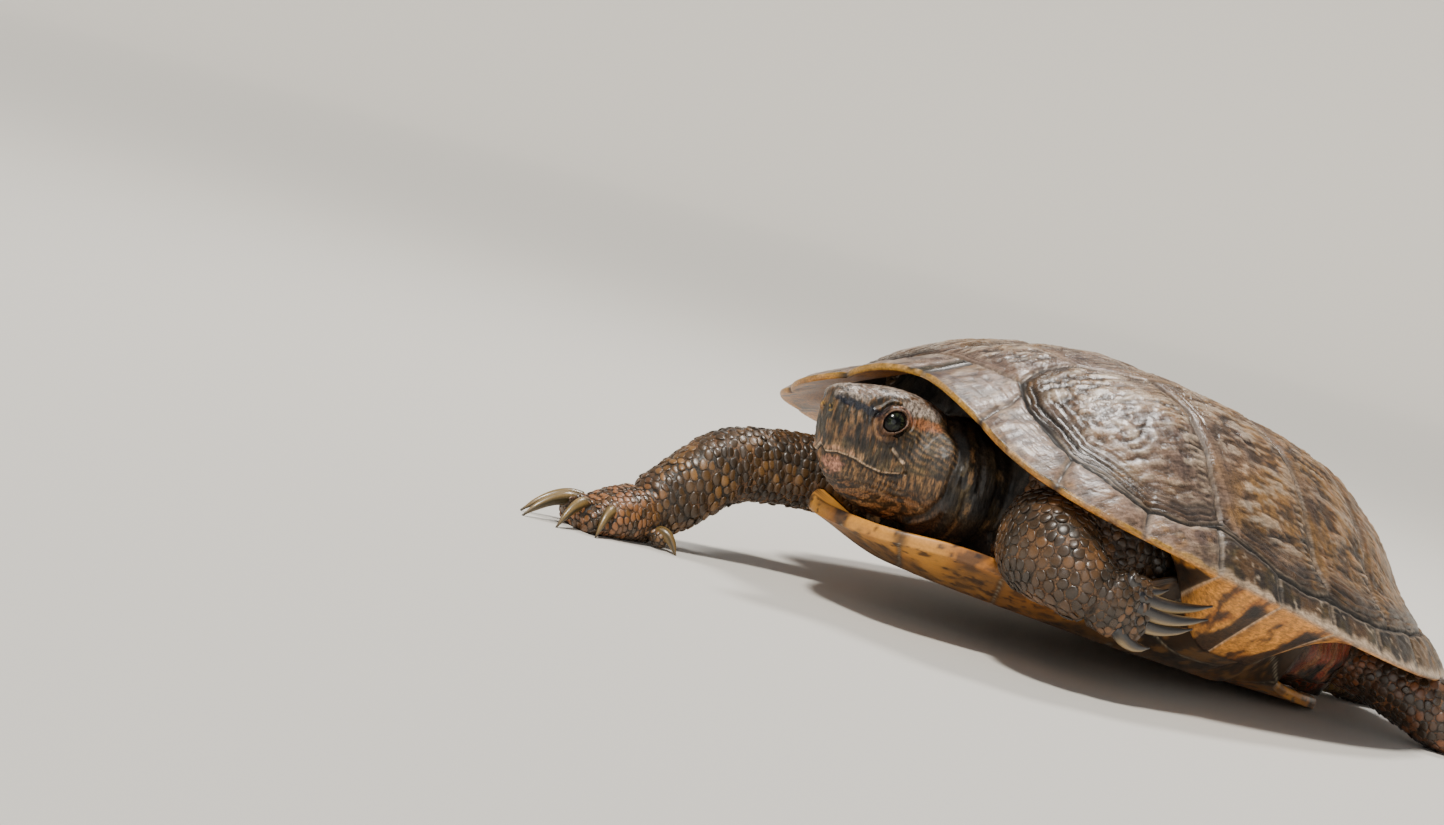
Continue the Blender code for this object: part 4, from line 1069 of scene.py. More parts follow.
FEET = {
    "forefoot_right": ((-52.3, -94.5, -10.2, 8.8, 8.0), (-53.0, -101.0, -12.3, 10.0, 7.2),
                       (-54.0, -107.5, -14.6, 10.6, 5.8), (-54.6, -112.5, -16.4, 10.2, 4.4)),
    "forefoot_left": ((65.0, -41.2, 12.8, 6.8, 8.2), (66.8, -38.2, 12.8, 5.6, 9.0),
                      (68.4, -35.2, 12.8, 4.6, 9.2), (69.4, -33.0, 13.0, 3.6, 8.8)),
    "hindfoot_left": ((66.6, 120.0, 6.2, 8.8, 5.8), (69.0, 126.0, 5.4, 11.5, 4.4),
                      (72.0, 133.5, 5.8, 14.5, 3.2), (74.6, 140.5, 6.4, 15.0, 2.2)),
    "hindfoot_right": ((-73.5, 109.6, 5.8, 8.8, 5.8), (-80.0, 113.6, 4.8, 11.5, 4.4),
                       (-88.0, 118.5, 4.6, 14.5, 3.2), (-95.0, 123.0, 4.8, 15.0, 2.2)),
}

# Claws: root and tip of each, thumb first
CLAWS = {
    "forefoot_right": (
        ((-43.8, -93.0, -14.8), (-37.5, -90.5, -17.6)),
        ((-46.5, -109.0, -13.6), (-42.5, -114.0, -19.4)),
        ((-51.0, -115.0, -13.8), (-48.0, -123.0, -20.4)),
        ((-56.5, -114.5, -13.6), (-57.5, -127.5, -20.8)),
        ((-61.5, -110.0, -13.0), (-65.0, -123.0, -20.2)),
    ),
    "forefoot_left": (
        ((69.0, -37.5, 19.4), (70.8, -26.0, 20.2)),
        ((70.2, -34.0, 16.6), (73.2, -11.0, 20.0)),
        ((70.6, -33.0, 13.8), (73.6, -11.5, 16.4)),
        ((70.2, -33.5, 10.8), (72.6, -14.5, 12.8)),
        ((69.4, -36.0, 6.8), (70.6, -25.0, 4.8)),
    ),
    "hindfoot_left": (
        ((64.2, 137.5, 6.2), (61.4, 146.5, 6.2)),
        ((69.8, 141.0, 6.8), (68.4, 151.5, 6.8)),
        ((76.2, 141.5, 6.8), (77.0, 152.5, 7.0)),
        ((82.4, 138.5, 6.6), (85.4, 147.5, 6.6)),
    ),
    "hindfoot_right": (
        ((-89.0, 128.0, 5.4), (-91.5, 136.5, 5.6)),
        ((-94.5, 126.0, 5.2), (-100.5, 133.5, 5.2)),
        ((-97.6, 120.5, 4.8), (-106.0, 125.0, 4.6)),
        ((-97.2, 114.0, 4.4), (-105.0, 115.5, 4.0)),
    ),
}
CLAW_RADIUS = {"forefoot_right": 1.55, "forefoot_left": 1.6, "hindfoot_left": 1.3, "hindfoot_right": 1.3}
CLAW_SET_BACK = 1.6
CLAW_TAPER = 0.80
CLAW_NARROWING = 0.85
TOE_GIRTH = 1.45
SKIN_DEPTH = 0.3
VOXEL = 0.6
CAP_TURNS = np.radians((22.0, 44.0, 66.0))


# ---------------------------------------------------------------- flesh: lofts

def superellipse(count, power):
    """A rounded square of half width 1 for a power over 2."""
    angle = (np.arange(count) + 0.5) * 2.0 * math.pi / count
    cos, sin = np.cos(angle), np.sin(angle)
    return np.sign(cos) * np.abs(cos) ** (2 / power), np.sign(sin) * np.abs(sin) ** (2 / power)


def loft(stations, rings, sides, power=2.3, shrink=0.0, caps=(0.5, 0.5)):
    """Loops along stations of x, y, z, half width and half height, closed with round ends."""
    rows = spline(stations, rings)
    rows[:, 3:5] -= shrink
    centres = rows[:, :3]
    forward = unit(np.gradient(centres, axis=0))
    side = unit(np.cross((0.0, 0.0, 1.0), forward))
    top = np.cross(forward, side)
    across, rise = superellipse(sides, power)
    loops = (centres[:, None] + (across * rows[:, 3:4])[..., None] * side[:, None]
             + (rise * rows[:, 4:5])[..., None] * top[:, None])
    before = forward[0] * rows[0, 4] * caps[0]
    beyond = forward[-1] * rows[-1, 4] * caps[1]
    start = [centres[0] + (loops[0] - centres[0]) * math.cos(turn) - before * math.sin(turn)
             for turn in CAP_TURNS[::-1]]
    end = [centres[-1] + (loops[-1] - centres[-1]) * math.cos(turn) + beyond * math.sin(turn)
           for turn in CAP_TURNS]
    return np.concatenate((start, loops, end)), centres[0] - before, centres[-1] + beyond


def loft_faces(rows, columns, offset):
    """Faces of a loft whose loops are followed by its first and its last point."""
    j = np.arange(columns)
    k = (j + 1) % columns
    start = offset + rows * columns
    last = offset + (rows - 1) * columns
    faces = grid_faces(rows, columns, offset)[:, ::-1].tolist()
    faces += np.stack((np.full(columns, start), offset + j, offset + k), -1).tolist()
    faces += np.stack((np.full(columns, start + 1), last + k, last + j), -1).tolist()
    return faces


def head_loft():
    """Loops of the head, narrower below, from its blunt nose to its nape."""
    rows = spline(HEAD_STATIONS, HEAD_RINGS)
    across, rise = superellipse(HEAD_SIDES, HEAD_POWER)
    loops = []
    for back, top, bottom, half_width in rows:
        middle, half = 0.5 * (top + bottom), 0.5 * (top - bottom)
        wide = across * half_width * (1.0 - JAW_TAPER * np.maximum(-rise, 0.0))
        loops.append(head_point(np.stack((np.full(HEAD_SIDES, back), wide, middle + rise * half), -1)))
    return np.array(loops), head_point(NOSE_TIP), head_point(NAPE)


def plastron_top(x, y):
    """Height of the plastron's upper side in plan, and how far out towards its edge the place is."""
    edge = plastron_edge()
    angle = np.arctan2(edge[:, 0], -(edge[:, 1] - APEX_Y))
    radius = np.hypot(edge[:, 0], edge[:, 1] - APEX_Y)
    here = np.arctan2(np.abs(x), -(y - APEX_Y))
    s = np.hypot(x, y - APEX_Y) / np.interp(here, angle, radius)
    height = np.interp(here, angle, edge[:, 2])
    wall = PLASTRON_WALL + (np.interp(here, angle, edge[:, 3]) - PLASTRON_WALL) * bowl(s)
    return height * bowl(s) + wall, s


def shell_under(x, y):
    """Height of the carapace's lower side in plan, and how far out towards the rim the place is."""
    m, rho = place_on_shell(x, y)
    reach = inset(m)
    inner = dome(m, rho)[..., 2] - SHELL_WALL
    lip = lip_point(m, 1.0)[..., 2]
    edge = dome(m, 0.995)[..., 2] - RIM_EDGE
    t = np.clip((rho - reach) / (1.0 - reach), 0.0, 1.0)
    under = lip + (edge - lip) * t
    return np.where(rho < reach - 0.02, inner, under), rho


def trunk_loft():
    """The flesh inside the shell, set back behind the limb pockets."""
    m, side = around_shell(61)
    lip = lip_point(m, side)
    offset = lip[:, :2] - AXIS
    reach = np.linalg.norm(offset, axis=1)
    ray = offset / reach[:, None]
    pocket = 1.0 - bridge_share(m)
    wall = reach - 3.0 - 6.5 * pocket
    rings = []
    for rho in (0.15, 0.35, 0.55, 0.70):
        ring = dome(m, rho, side)
        ring[:, 2] -= SHELL_WALL + 1.4
        rings.append(ring)
    for share, drop in ((0.96, 0.0), (1.0, 0.22), (1.0, 0.5), (1.0, 0.78), (0.95, 1.0)):
        plan = AXIS + ray * (wall * share)[:, None]
        high = np.minimum(shell_under(plan[:, 0], plan[:, 1])[0] - 1.2, lip[:, 2] + 14.0)
        low, s = plastron_top(plan[:, 0], plan[:, 1])
        low = np.where(s < 1.0, low, 8.0) + 1.0
        rings.append(np.column_stack((plan, high + (low - high) * drop)))
    for share in (0.7, 0.3):
        plan = AXIS + ray * (wall * share)[:, None]
        rings.append(np.column_stack((plan, plastron_top(plan[:, 0], plan[:, 1])[0] + 1.0)))
    rings = np.array(rings)
    return rings, (*AXIS, TOP_HEIGHT - SHELL_WALL - 1.4), (*AXIS, PLASTRON_WALL + 1.0)


def toe_stations(root, foot_centre, radius):
    """A toe from inside its foot to the root of its claw."""
    root = np.array(root)
    start = root + (np.array(foot_centre) - root) * 0.6
    end = root + unit(root - start) * 0.9
    middle = 0.5 * (start + end) + (0.0, 0.0, 0.5)
    thick = radius * TOE_GIRTH - 0.1
    return [(*start, 1.2 * thick, 1.2 * thick), (*middle, 1.1 * thick, 1.15 * thick),
            (*end, 1.02 * thick, 1.05 * thick)]


def all_lofts():
    """Each loft's loops, first and last point; a toe's name is its foot's with a number."""
    lofts = {"trunk": trunk_loft(), "head": head_loft(), "neck": loft(NECK, 40, 80, shrink=SKIN_DEPTH),
             "tail": loft(TAIL, 50, 40, shrink=SKIN_DEPTH)}
    for name, stations in LIMBS.items():
        lofts[name] = loft(stations, 44, 56, shrink=SKIN_DEPTH)
    for name, stations in FEET.items():
        lofts[name] = loft(stations, 24, 56, shrink=SKIN_DEPTH, caps=(1.0, 0.5))
        for number, (root, _) in enumerate(CLAWS[name], start=1):
            toe = toe_stations(root, stations[1][:3], CLAW_RADIUS[name])
            lofts[f"{name}_toe_{number}"] = loft(toe, 10, 20, power=2.1, caps=(0.4, 0.8))
    return lofts


LOFTS = all_lofts()
LOFT_NAMES = list(LOFTS)
HEAD_NUMBER = LOFT_NAMES.index("head")
NECK_NUMBER = LOFT_NAMES.index("neck")
TRUNK_NUMBER = LOFT_NAMES.index("trunk")


# ---------------------------------------------------------------- flesh: one mesh

def remeshed():
    """All lofts joined into one closed skin of even quads."""
    points, faces, offset = [], [], 0
    for loops, first, last in LOFTS.values():
        rows, columns = loops.shape[:2]
        points += [*loops.reshape(-1, 3).tolist(), list(first), list(last)]
        faces += loft_faces(rows, columns, offset)
        offset += rows * columns + 2
    mesh = bpy.data.meshes.new("flesh_source")
    mesh.from_pydata(points, [], faces)
    mesh.validate()
    obj = linked("flesh_source", mesh)
    face_outward(obj)
    modifier = obj.modifiers.new("even", "REMESH")
    modifier.mode = "VOXEL"
    modifier.voxel_size = VOXEL
    bpy.context.view_layer.update()
    result = bpy.data.meshes.new_from_object(obj.evaluated_get(bpy.context.evaluated_depsgraph_get()))
    bpy.data.objects.remove(obj, do_unlink=True)
    return result


def read_mesh(mesh):
    """The mesh's points, triangles and edges as arrays."""
    points = np.empty(len(mesh.vertices) * 3, np.float32)
    mesh.vertices.foreach_get("co", points)
    mesh.calc_loop_triangles()
    triangles = np.empty(len(mesh.loop_triangles) * 3, np.int32)
    mesh.loop_triangles.foreach_get("vertices", triangles)
    edges = np.empty(len(mesh.edges) * 2, np.int32)
    mesh.edges.foreach_get("vertices", edges)
    return points.reshape(-1, 3).astype(float), triangles.reshape(-1, 3), edges.reshape(-1, 2)


def smoothed(points, edges, rounds, share=0.5, back=-0.53, weight=None):
    """Draws each point to the middle of its neighbours and part of the way back, which keeps the volume."""
    count = len(points)
    degree = np.bincount(edges.ravel(), minlength=count).astype(float)[:, None]
    for _ in range(rounds):
        for step in (share, back):
            total = np.zeros_like(points)
            for axis in range(3):
                total[:, axis] = (np.bincount(edges[:, 0], points[edges[:, 1], axis], count)
                                  + np.bincount(edges[:, 1], points[edges[:, 0], axis], count))
            move = step * (total / np.maximum(degree, 1.0) - points)
            points = points + (move if weight is None else move * weight[:, None])
    return points


def normals_of(points, triangles):
    """The normal at each point, from the triangles around it."""
    a, b, c = (points[triangles[:, k]] for k in range(3))
    face = np.cross(b - a, c - a)
    total = np.zeros_like(points)
    for corner in range(3):
        for axis in range(3):
            total[:, axis] += np.bincount(triangles[:, corner], face[:, axis], len(points))
    return unit(total + 1e-12)


def fitted(points):
    """Keeps the flesh clear of the carapace above and the plastron below."""
    x, y, z = points.T
    roof, rho = shell_under(x, y)
    floor_top, s = plastron_top(x, y)
    high = np.where(rho < 1.0, roof - 0.45, 1e3)
    low = np.where((s < 1.01) & (z > -4.0), floor_top + 0.4, -1e3)
    near_edge = np.clip((1.01 - s) / 0.03, 0.0, 1.0)
    lifted = np.maximum(z, np.where(s < 1.01, low, -1e3))
    z = z + (lifted - z) * near_edge
    z = np.minimum(z, np.maximum(high, np.where(s < 0.97, floor_top + 0.3, -1e3)))
    return np.column_stack((x, y, z))


def nearest(cloud, points):
    """Distance to the nearest point of the cloud, and its number, for each of the points."""
    tree = KDTree(len(cloud))
    for number, place in enumerate(cloud.tolist()):
        tree.insert(place, number)
    tree.balance()
    found = [tree.find(place) for place in points.tolist()]
    return np.array([f[2] for f in found]), np.array([f[1] for f in found], int)


def loft_places(points):
    """For each point: its nearest loft, the distance to the next one, and its place along and around it."""
    own = np.full(len(points), -1)
    best = np.full(len(points), 1e9)
    second = np.full(len(points), 1e9)
    along = np.zeros(len(points))
    around = np.zeros(len(points))
    for number, (loops, _, _) in enumerate(LOFTS.values()):
        columns = loops.shape[1]
        step = np.linalg.norm(np.diff(loops.mean(axis=1), axis=0), axis=1)
        run = np.concatenate(([0.0], np.cumsum(step)))
        size = np.linalg.norm(loops - loops.mean(axis=1, keepdims=True), axis=-1).mean()
        flat = loops.reshape(-1, 3)
        low, high = flat.min(axis=0) - 4.0, flat.max(axis=0) + 4.0
        near = np.where(np.all((points > low) & (points < high), axis=1))[0]
        distance, index = nearest(flat, points[near])
        closer = distance < best[near]
        second[near] = np.where(closer, best[near], np.minimum(second[near], distance))
        hit = near[closer]
        best[hit] = distance[closer]
        own[hit] = number
        along[hit] = run[index[closer] // columns]
        around[hit] = (index[closer] % columns) * 2.0 * math.pi * size / columns
    return own, second, along, around


# ---------------------------------------------------------------- head: relief

MOUTH_BACK = (0.5, 4.1, 7.9, 11.8, 16.0, 18.5)
MOUTH_UP = (-0.5, -1.1, -2.6, -3.5, -2.9, -1.9)
MOUTH_FRONT_ACROSS = (0.0, 1.2, 2.4, 4.0, 4.8)
MOUTH_FRONT_UP = (0.9, 0.1, -0.9, -0.7, -0.5)
NOSTRIL = np.array((-1.5, 1.9, 10.2))
EYE_AXIS = unit((-0.30, 0.90, 0.20))
CREASES = (((13.1, 9.7, 2.9), (16.3, 10.4, 0.2), (17.5, 10.6, -1.8), (21.5, 12.5, -7.0)),
           ((18.0, 10.5, 3.2), (22.0, 12.0, 2.6)), ((23.0, 12.6, 2.6), (25.2, 13.0, 4.4)),
           ((9.0, 8.0, 2.6), (12.6, 9.6, 3.6)))


def mouth_height(back, across):
    """Height of the line of the mouth."""
    side = np.interp(back, MOUTH_BACK, MOUTH_UP)
    front = np.interp(across, MOUTH_FRONT_ACROSS, MOUTH_FRONT_UP)
    share = smoothstep(-0.4, 1.0, back)
    return front + (side - front) * share


def mirror_of(local):
    """Signs that bring places and directions of the head to its left half, and back again."""
    return np.where(local[:, 1:2] < 0.0, -1.0, 1.0) * (0, 1, 0) + (1, 0, 1)


def oval_distance(points, centre, radii):
    """Distance to the centre as a share of the oval's radii."""
    return np.linalg.norm((points - centre) / radii, axis=1)


def path_distance(points, path):
    """Distance to the nearest segment of the path."""
    path = np.asarray(path, float)
    gap = np.full(len(points), FAR)
    for a, b in zip(path, path[1:]):
        gap = np.minimum(gap, segment_distance(points, a, b)[0])
    return gap


def eye_frame(local):
    """Places around the eye, for the left half: along its axis, and across and up from it."""
    ahead = unit(np.cross((0.0, 0.0, 1.0), EYE_AXIS))
    upward = np.cross(EYE_AXIS, ahead)
    offset = local - EYE_CENTRE
    return offset @ EYE_AXIS, offset @ ahead, offset @ upward


# The lids' opening is an oval whose rear end is the higher one
EYE_TILT = math.radians(38.0)
EYE_NARROWING = 0.77


def shape_lids(local):
    """Opens the socket and lays the lids around the ball; gives the shift and the distance from the opening's
    middle."""
    height, ahead, upward = eye_frame(local)
    along = upward * math.sin(EYE_TILT) - ahead * math.cos(EYE_TILT)
    across = upward * math.cos(EYE_TILT) + ahead * math.sin(EYE_TILT)
    q = np.hypot(along, across / EYE_NARROWING)
    q = q + (0.10 + 0.42 * smoothstep(3.3, 4.4, q)) * noise(local, 2.6, 98) * smoothstep(2.2, 3.2, q)
    ball = np.sqrt(np.maximum(EYE_RADIUS ** 2 - q ** 2, 0.0))
    lid = np.sqrt(np.maximum((EYE_RADIUS + 0.55) ** 2 - np.hypot(ahead, upward) ** 2, 0.0))
    above_eye = smoothstep(-2.0, 2.0, upward)
    uneven = 1.0 + 0.5 * noise(local, 2.2, 96)
    rings = 0.18 * bump(q, 3.58, 0.22) - 0.26 * bump(q, 4.05, 0.26) * uneven
    rings += (0.10 + 0.28 * above_eye) * bump(q, 4.7, 0.42)
    rings -= (0.18 + 0.30 * above_eye) * bump(q, 5.5, 0.36) * uneven
    rings += (0.05 + 0.35 * above_eye) * bump(q, 6.3, 0.55)
    open_share = 1.0 - smoothstep(3.05, 3.32, q)
    lid_share = 1.0 - smoothstep(3.3, 5.2, q)
    front = (height > 0.0) & (q < 7.5)
    target = height + (np.maximum(lid, height) - height) * lid_share + rings * smoothstep(3.1, 3.45, q)
    target = target + (ball - 0.9 - target) * open_share
    shift = np.where(front, target - height, 0.0) * (1.0 - smoothstep(6.6, 7.5, q))
    return shift, np.where(front, q, FAR)


def head_relief(local, normal):
    """The relief of the head's skin as moves in its own frame, and the distances around the eyes."""
    mirror = mirror_of(local)
    half = local * mirror
    out = normal * mirror
    back, across, up = half.T
    mouth = mouth_height(back, across)
    fade = 1.0 - smoothstep(16.8, 18.8, back)
    above = up - mouth
    move = -0.62 * bell(above, 0.30) * fade
    move += 0.26 * bump(above, 0.85, 0.55) * fade
    lower = (1.0 - smoothstep(-0.4, 0.1, above)) * (1.0 - smoothstep(2.5, 5.5, -above))
    move -= 0.45 * lower * fade * (1.0 - 0.6 * smoothstep(4.0, 12.0, back))
    gap = np.linalg.norm(half - NOSTRIL, axis=1)
    move += -1.3 * bell(gap, 0.55) + 0.24 * bump(gap, 1.1, 0.35)
    ridge = path_distance(half, ((-1.0, 2.8, 14.2), (2.0, 4.6, 14.2), (6.0, 6.2, 13.8), (9.0, 6.6, 14.4)))
    move += 0.42 * bell(ridge, 1.0)
    hollow = path_distance(half, ((0.5, 4.4, 12.0), (5.0, 6.8, 10.6), (7.6, 7.6, 9.4)))
    move -= 0.50 * bell(hollow, 1.5)
    brow = oval_distance(half, (12.2, 6.4, 15.0), (5.5, 3.0, 2.2))
    move += 0.75 * np.exp(-brow ** 2)
    behind = oval_distance(half, (19.0, 9.6, 10.0), (3.5, 3.0, 3.2))
    move -= 0.55 * np.exp(-behind ** 2)
    cheek = oval_distance(half, (20.5, 12.0, -2.0), (6.0, 5.0, 6.0))
    move += 0.8 * np.exp(-cheek ** 2)
    drum = oval_distance(half, (24.0, 13.0, 5.5), (3.2, 4.0, 3.2))
    move += -0.25 * np.exp(-drum ** 4) + 0.18 * bump(drum, 1.15, 0.2)
    for k, path in enumerate(CREASES):
        move -= (0.55 if k == 0 else 0.3) * bell(path_distance(half, path), 0.42)
    throat = smoothstep(4.5, 7.5, -up + 0.10 * back)
    ripple = np.abs(np.sin(0.85 * (up + 0.22 * back + 0.9 * noise(local, 7.0, 81)) * 2.2))
    move += 0.20 * throat * (ripple - 0.6)
    move += 0.07 * fractal(local, (0.9, 1.4, 2.4), 3, 82)
    move += 0.05 * fractal(local, 0.8, 2, 83)
    offset = out * move[:, None]
    shift, q = shape_lids(half)
    offset = np.where((q < 5.0)[:, None], offset * smoothstep(4.2, 5.0, q)[:, None], offset)
    return (offset + shift[:, None] * EYE_AXIS) * mirror, q


CHEEK_LINES = 3.5
TEMPLE_LINES = 3.4
SKIN = {
    "black": srgb(24, 22, 20), "dark": srgb(44, 37, 29), "olive": srgb(72, 60, 40), "tan": srgb(138, 100, 62),
    "sand": srgb(178, 142, 98), "orange": srgb(160, 102, 62), "rust": srgb(128, 80, 47),
    "grey": srgb(152, 138, 126), "blue": srgb(24, 27, 36), "lid": srgb(88, 62, 46),
    "pale": srgb(224, 194, 162), "pink": srgb(184, 128, 104), "gold": srgb(190, 148, 58),
    "red": srgb(170, 74, 44), "brown": srgb(92, 64, 40),
}


def head_colour(local, q):
    """Colour and roughness of the head's skin; q is the distance around the eye."""
    half = local * mirror_of(local)
    back, across, up = half.T
    streak = fractal(local, (0.55, 1.0, 3.6), 3, 91)
    patch = fractal(local, 3.2, 2, 92)
    speck = fractal(local, 0.9, 2, 93)
    mouth = mouth_height(back, across)
    above = up - mouth
    coat = Coat(SKIN, "dark")
    coat.lay("olive", smoothstep(-0.5, 0.5, patch))
    coat.lay("tan", 0.50 * smoothstep(0.05, 0.65, streak + 0.25 * patch))
    muzzle = (1.0 - smoothstep(7.0, 12.0, back)) * smoothstep(-0.5, 1.0, above)
    coat.lay("brown", 0.45 * muzzle * smoothstep(-0.4, 0.5, streak))
    coat.lay("black", 0.75 * muzzle * smoothstep(2.5, 5.0, above) * smoothstep(-0.2, 0.4, -streak))
    coat.lay("sand", 0.55 * muzzle * (1.0 - smoothstep(0.8, 3.8, above)) * smoothstep(-0.7, 0.5, streak))
    # Dark lines that run back and down behind the eye
    cheek = smoothstep(14.0, 17.5, back) * (1.0 - smoothstep(9.0, 11.0, up))
    cheek *= smoothstep(-4.0, 2.0, up + 1.5 * patch)
    lines = np.sin((up + 0.55 * back + 0.5 * patch) * CHEEK_LINES)
    coat.lay("olive", 0.45 * cheek)
    coat.lay("black", 0.75 * cheek * smoothstep(-0.3, 0.6, lines + 0.6 * speck + 0.4 * streak))
    coat.lay("tan", 0.35 * cheek * smoothstep(0.45, 0.95, -lines + 0.5 * speck))
    # The faded ear patch and the pale temple above it
    rust = path_distance(half, ((17.0, 9.8, 10.6), (20.5, 10.6, 10.2), (24.0, 11.2, 9.9)))
    coat.lay("rust", 0.95 * (1.0 - smoothstep(0.7, 2.1, rust + 0.5 * speck + 0.4 * patch)))
    temple = path_distance(half, ((16.0, 8.6, 13.4), (20.0, 8.2, 14.2), (23.5, 9.0, 13.4)))
    hatch = np.sin((back - 0.55 * up + 0.3 * patch) * TEMPLE_LINES)
    pale = mix(SKIN["grey"], SKIN["dark"], 0.65 * smoothstep(0.45, 0.95, hatch))
    coat.lay(pale, 0.9 * (1.0 - smoothstep(1.5, 2.6, temple + 0.4 * speck)))
    # Crown: grey and brown, speckled with black; the grey is partly a painted highlight of the lit top
    crown = smoothstep(14.0, 15.6, up + 0.3 * patch)
    top = Coat(SKIN, "grey")
    top.lay("brown", smoothstep(-0.4, 0.5, speck + 0.5 * patch))
    top.lay("black", 0.75 * smoothstep(0.1, 0.6, fractal(local, 1.3, 2, 94)))
    coat.lay(top.colour, 0.9 * crown)
    # The dark glossy band from nostril to eye
    band = path_distance(half, ((-1.2, 3.0, 13.0), (1.5, 4.9, 12.8), (5.2, 6.7, 11.6), (8.6, 7.6, 10.4)))
    banded = 1.0 - smoothstep(0.7, 1.6, band + 0.5 * speck + 0.3 * patch)
    coat.lay("blue", 0.95 * banded)
    # A painted highlight along the crest of the ridge above the band.
    crest = path_distance(half, ((-1.2, 2.4, 14.2), (2.0, 4.3, 14.2), (5.0, 5.6, 13.6)))
    coat.lay("grey", 0.55 * (1.0 - smoothstep(0.3, 1.2, crest + 0.5 * speck)))
    # Throat: orange with long black flecks
    throat = smoothstep(3.6, 6.0, -above) * smoothstep(1.0, 4.0, back)
    throat = throat * (1.0 - 0.5 * smoothstep(19.0, 24.0, back))
    slanted = np.column_stack((back * 0.9 + up * 0.35, across, up - 0.30 * back))
    fleck = fractal(slanted, (2.2, 2.0, 0.75), 2, 95)
    under = Coat(SKIN, "orange")
    under.lay("tan", 0.6)
    under.lay("sand", 0.5 * smoothstep(-0.3, 0.8, patch))
    under.lay("brown", 0.6 * smoothstep(-0.5, 0.3, -fleck + 0.4 * speck))
    under.lay("black", 0.95 * smoothstep(-0.26, 0.04, fleck))
    coat.lay(under.colour, 0.85 * throat)
    jaw = (1.0 - smoothstep(-0.6, 0.0, above)) * (1.0 - throat)
    coat.lay(mix(SKIN["tan"], SKIN["black"], smoothstep(-0.5, 0.2, streak)), 0.65 * jaw)
    chin = oval_distance(half, (0.6, 3.0, -3.4), (2.6, 3.2, 2.3))
    coat.lay("pink", 0.7 * (1.0 - smoothstep(0.35, 1.15, chin + 0.45 * speck + 0.2 * streak)))
    # The beak's pale edge, and painted shade in the dark line of the mouth
    fade = 1.0 - smoothstep(15.0, 17.0, back)
    coat.lay("pale", 0.9 * bump(above, 0.42, 0.22) * fade * smoothstep(-1.2, 0.0, speck + 0.3))
    coat.lay("pink", 0.4 * bump(above, 1.2, 0.7) * (1.0 - smoothstep(3.0, 8.0, back))
             * smoothstep(-0.7, 0.4, streak))
    coat.lay("black", 0.85 * bell(above + 0.12, 0.26) * fade)
    gap = np.linalg.norm(half - NOSTRIL, axis=1)
    coat.lay("gold", 0.45 * bump(gap, 0.95, 0.25) * smoothstep(-0.4, 0.4, speck))
    # Painted shade: the nostril's pit is black.
    coat.lay("black", 1.0 - smoothstep(0.45, 0.75, gap))
    # Painted shade: black along the creases of the head.
    for path in CREASES:
        coat.lay("black", 0.7 * bell(path_distance(half, path), 0.5))
    for path in (CREASES[0][:2], CREASES[1], CREASES[2]):
        beside = bump(path_distance(half, path), 0.25, 0.17)
        coat.lay("pale", 0.8 * beside * smoothstep(-0.8, 0.3, patch + 0.5))
    # Lids
    lid = mix(SKIN["lid"], SKIN["brown"], smoothstep(-0.3, 0.6, speck))
    above_eye = smoothstep(-1.5, 2.0, up - EYE_CENTRE[2])
    ring = smoothstep(3.0, 3.2, q) * (1.0 - smoothstep(4.2, 5.6, q + 0.5 * speck + 0.4 * patch))
    coat.lay(lid, 0.85 * ring)
    coat.lay("pink", (0.30 - 0.15 * above_eye) * bump(q, 3.5, 0.14) * smoothstep(-0.9, 0.4, patch + speck))
    coat.lay("pink", 0.4 * above_eye * bump(q, 4.65, 0.35) * smoothstep(-0.5, 0.4, speck))
    forward = smoothstep(0.0, 2.5, EYE_CENTRE[0] - back)
    coat.lay("blue", 0.75 * forward * above_eye * bump(q, 4.9, 0.7))
    coat.lay("tan", 0.6 * forward * (1.0 - above_eye) * bump(q, 5.0, 0.7) * smoothstep(-0.4, 0.4, speck))
    # Painted shade: black in the grooves between the lid rings, more above the eye, and in the opening around
    # the ball.
    coat.lay("black", 0.55 * bump(q, 4.02, 0.20) + (0.25 + 0.4 * above_eye) * bump(q, 5.5, 0.25))
    coat.lay("black", 1.0 - smoothstep(3.0, 3.2, q))
    rough = 0.44 + 0.08 * speck - 0.22 * banded - 0.10 * crown + 0.12 * smoothstep(18.0, 22.0, back)
    return coat.colour, rough


# ---------------------------------------------------------------- skin

FOLD_UP = (-15.0, -13.2, -11.4, -5.9, -0.2, 5.3, 10.1, 14.5, 18.0)
FOLD_BACK = (20.0, 21.4, 23.4, 24.9, 25.9, 26.8, 27.6, 29.5, 31.0)
FINE_HEAD = 30.0
CREASE_DEPTH = 0.9
LID_REACH = 7.0


NECK_FOLD = 3.4
LIMB_FOLD = 4.2
FOLD_DEPTHS = {"foreleg": 0.30, "hindleg": 0.30, "tail": 0.18}


def behind_fold(local):
    """How far behind the edge of the neck's fold a place lies; the head ends there."""
    return local[:, 0] - np.interp(local[:, 2], FOLD_UP, FOLD_BACK) - 0.5 * noise(local, 8.0, 97)


def unrolled(along, around):
    """Places along and around a limb, laid flat."""
    return np.column_stack((along, around, np.zeros(len(along))))


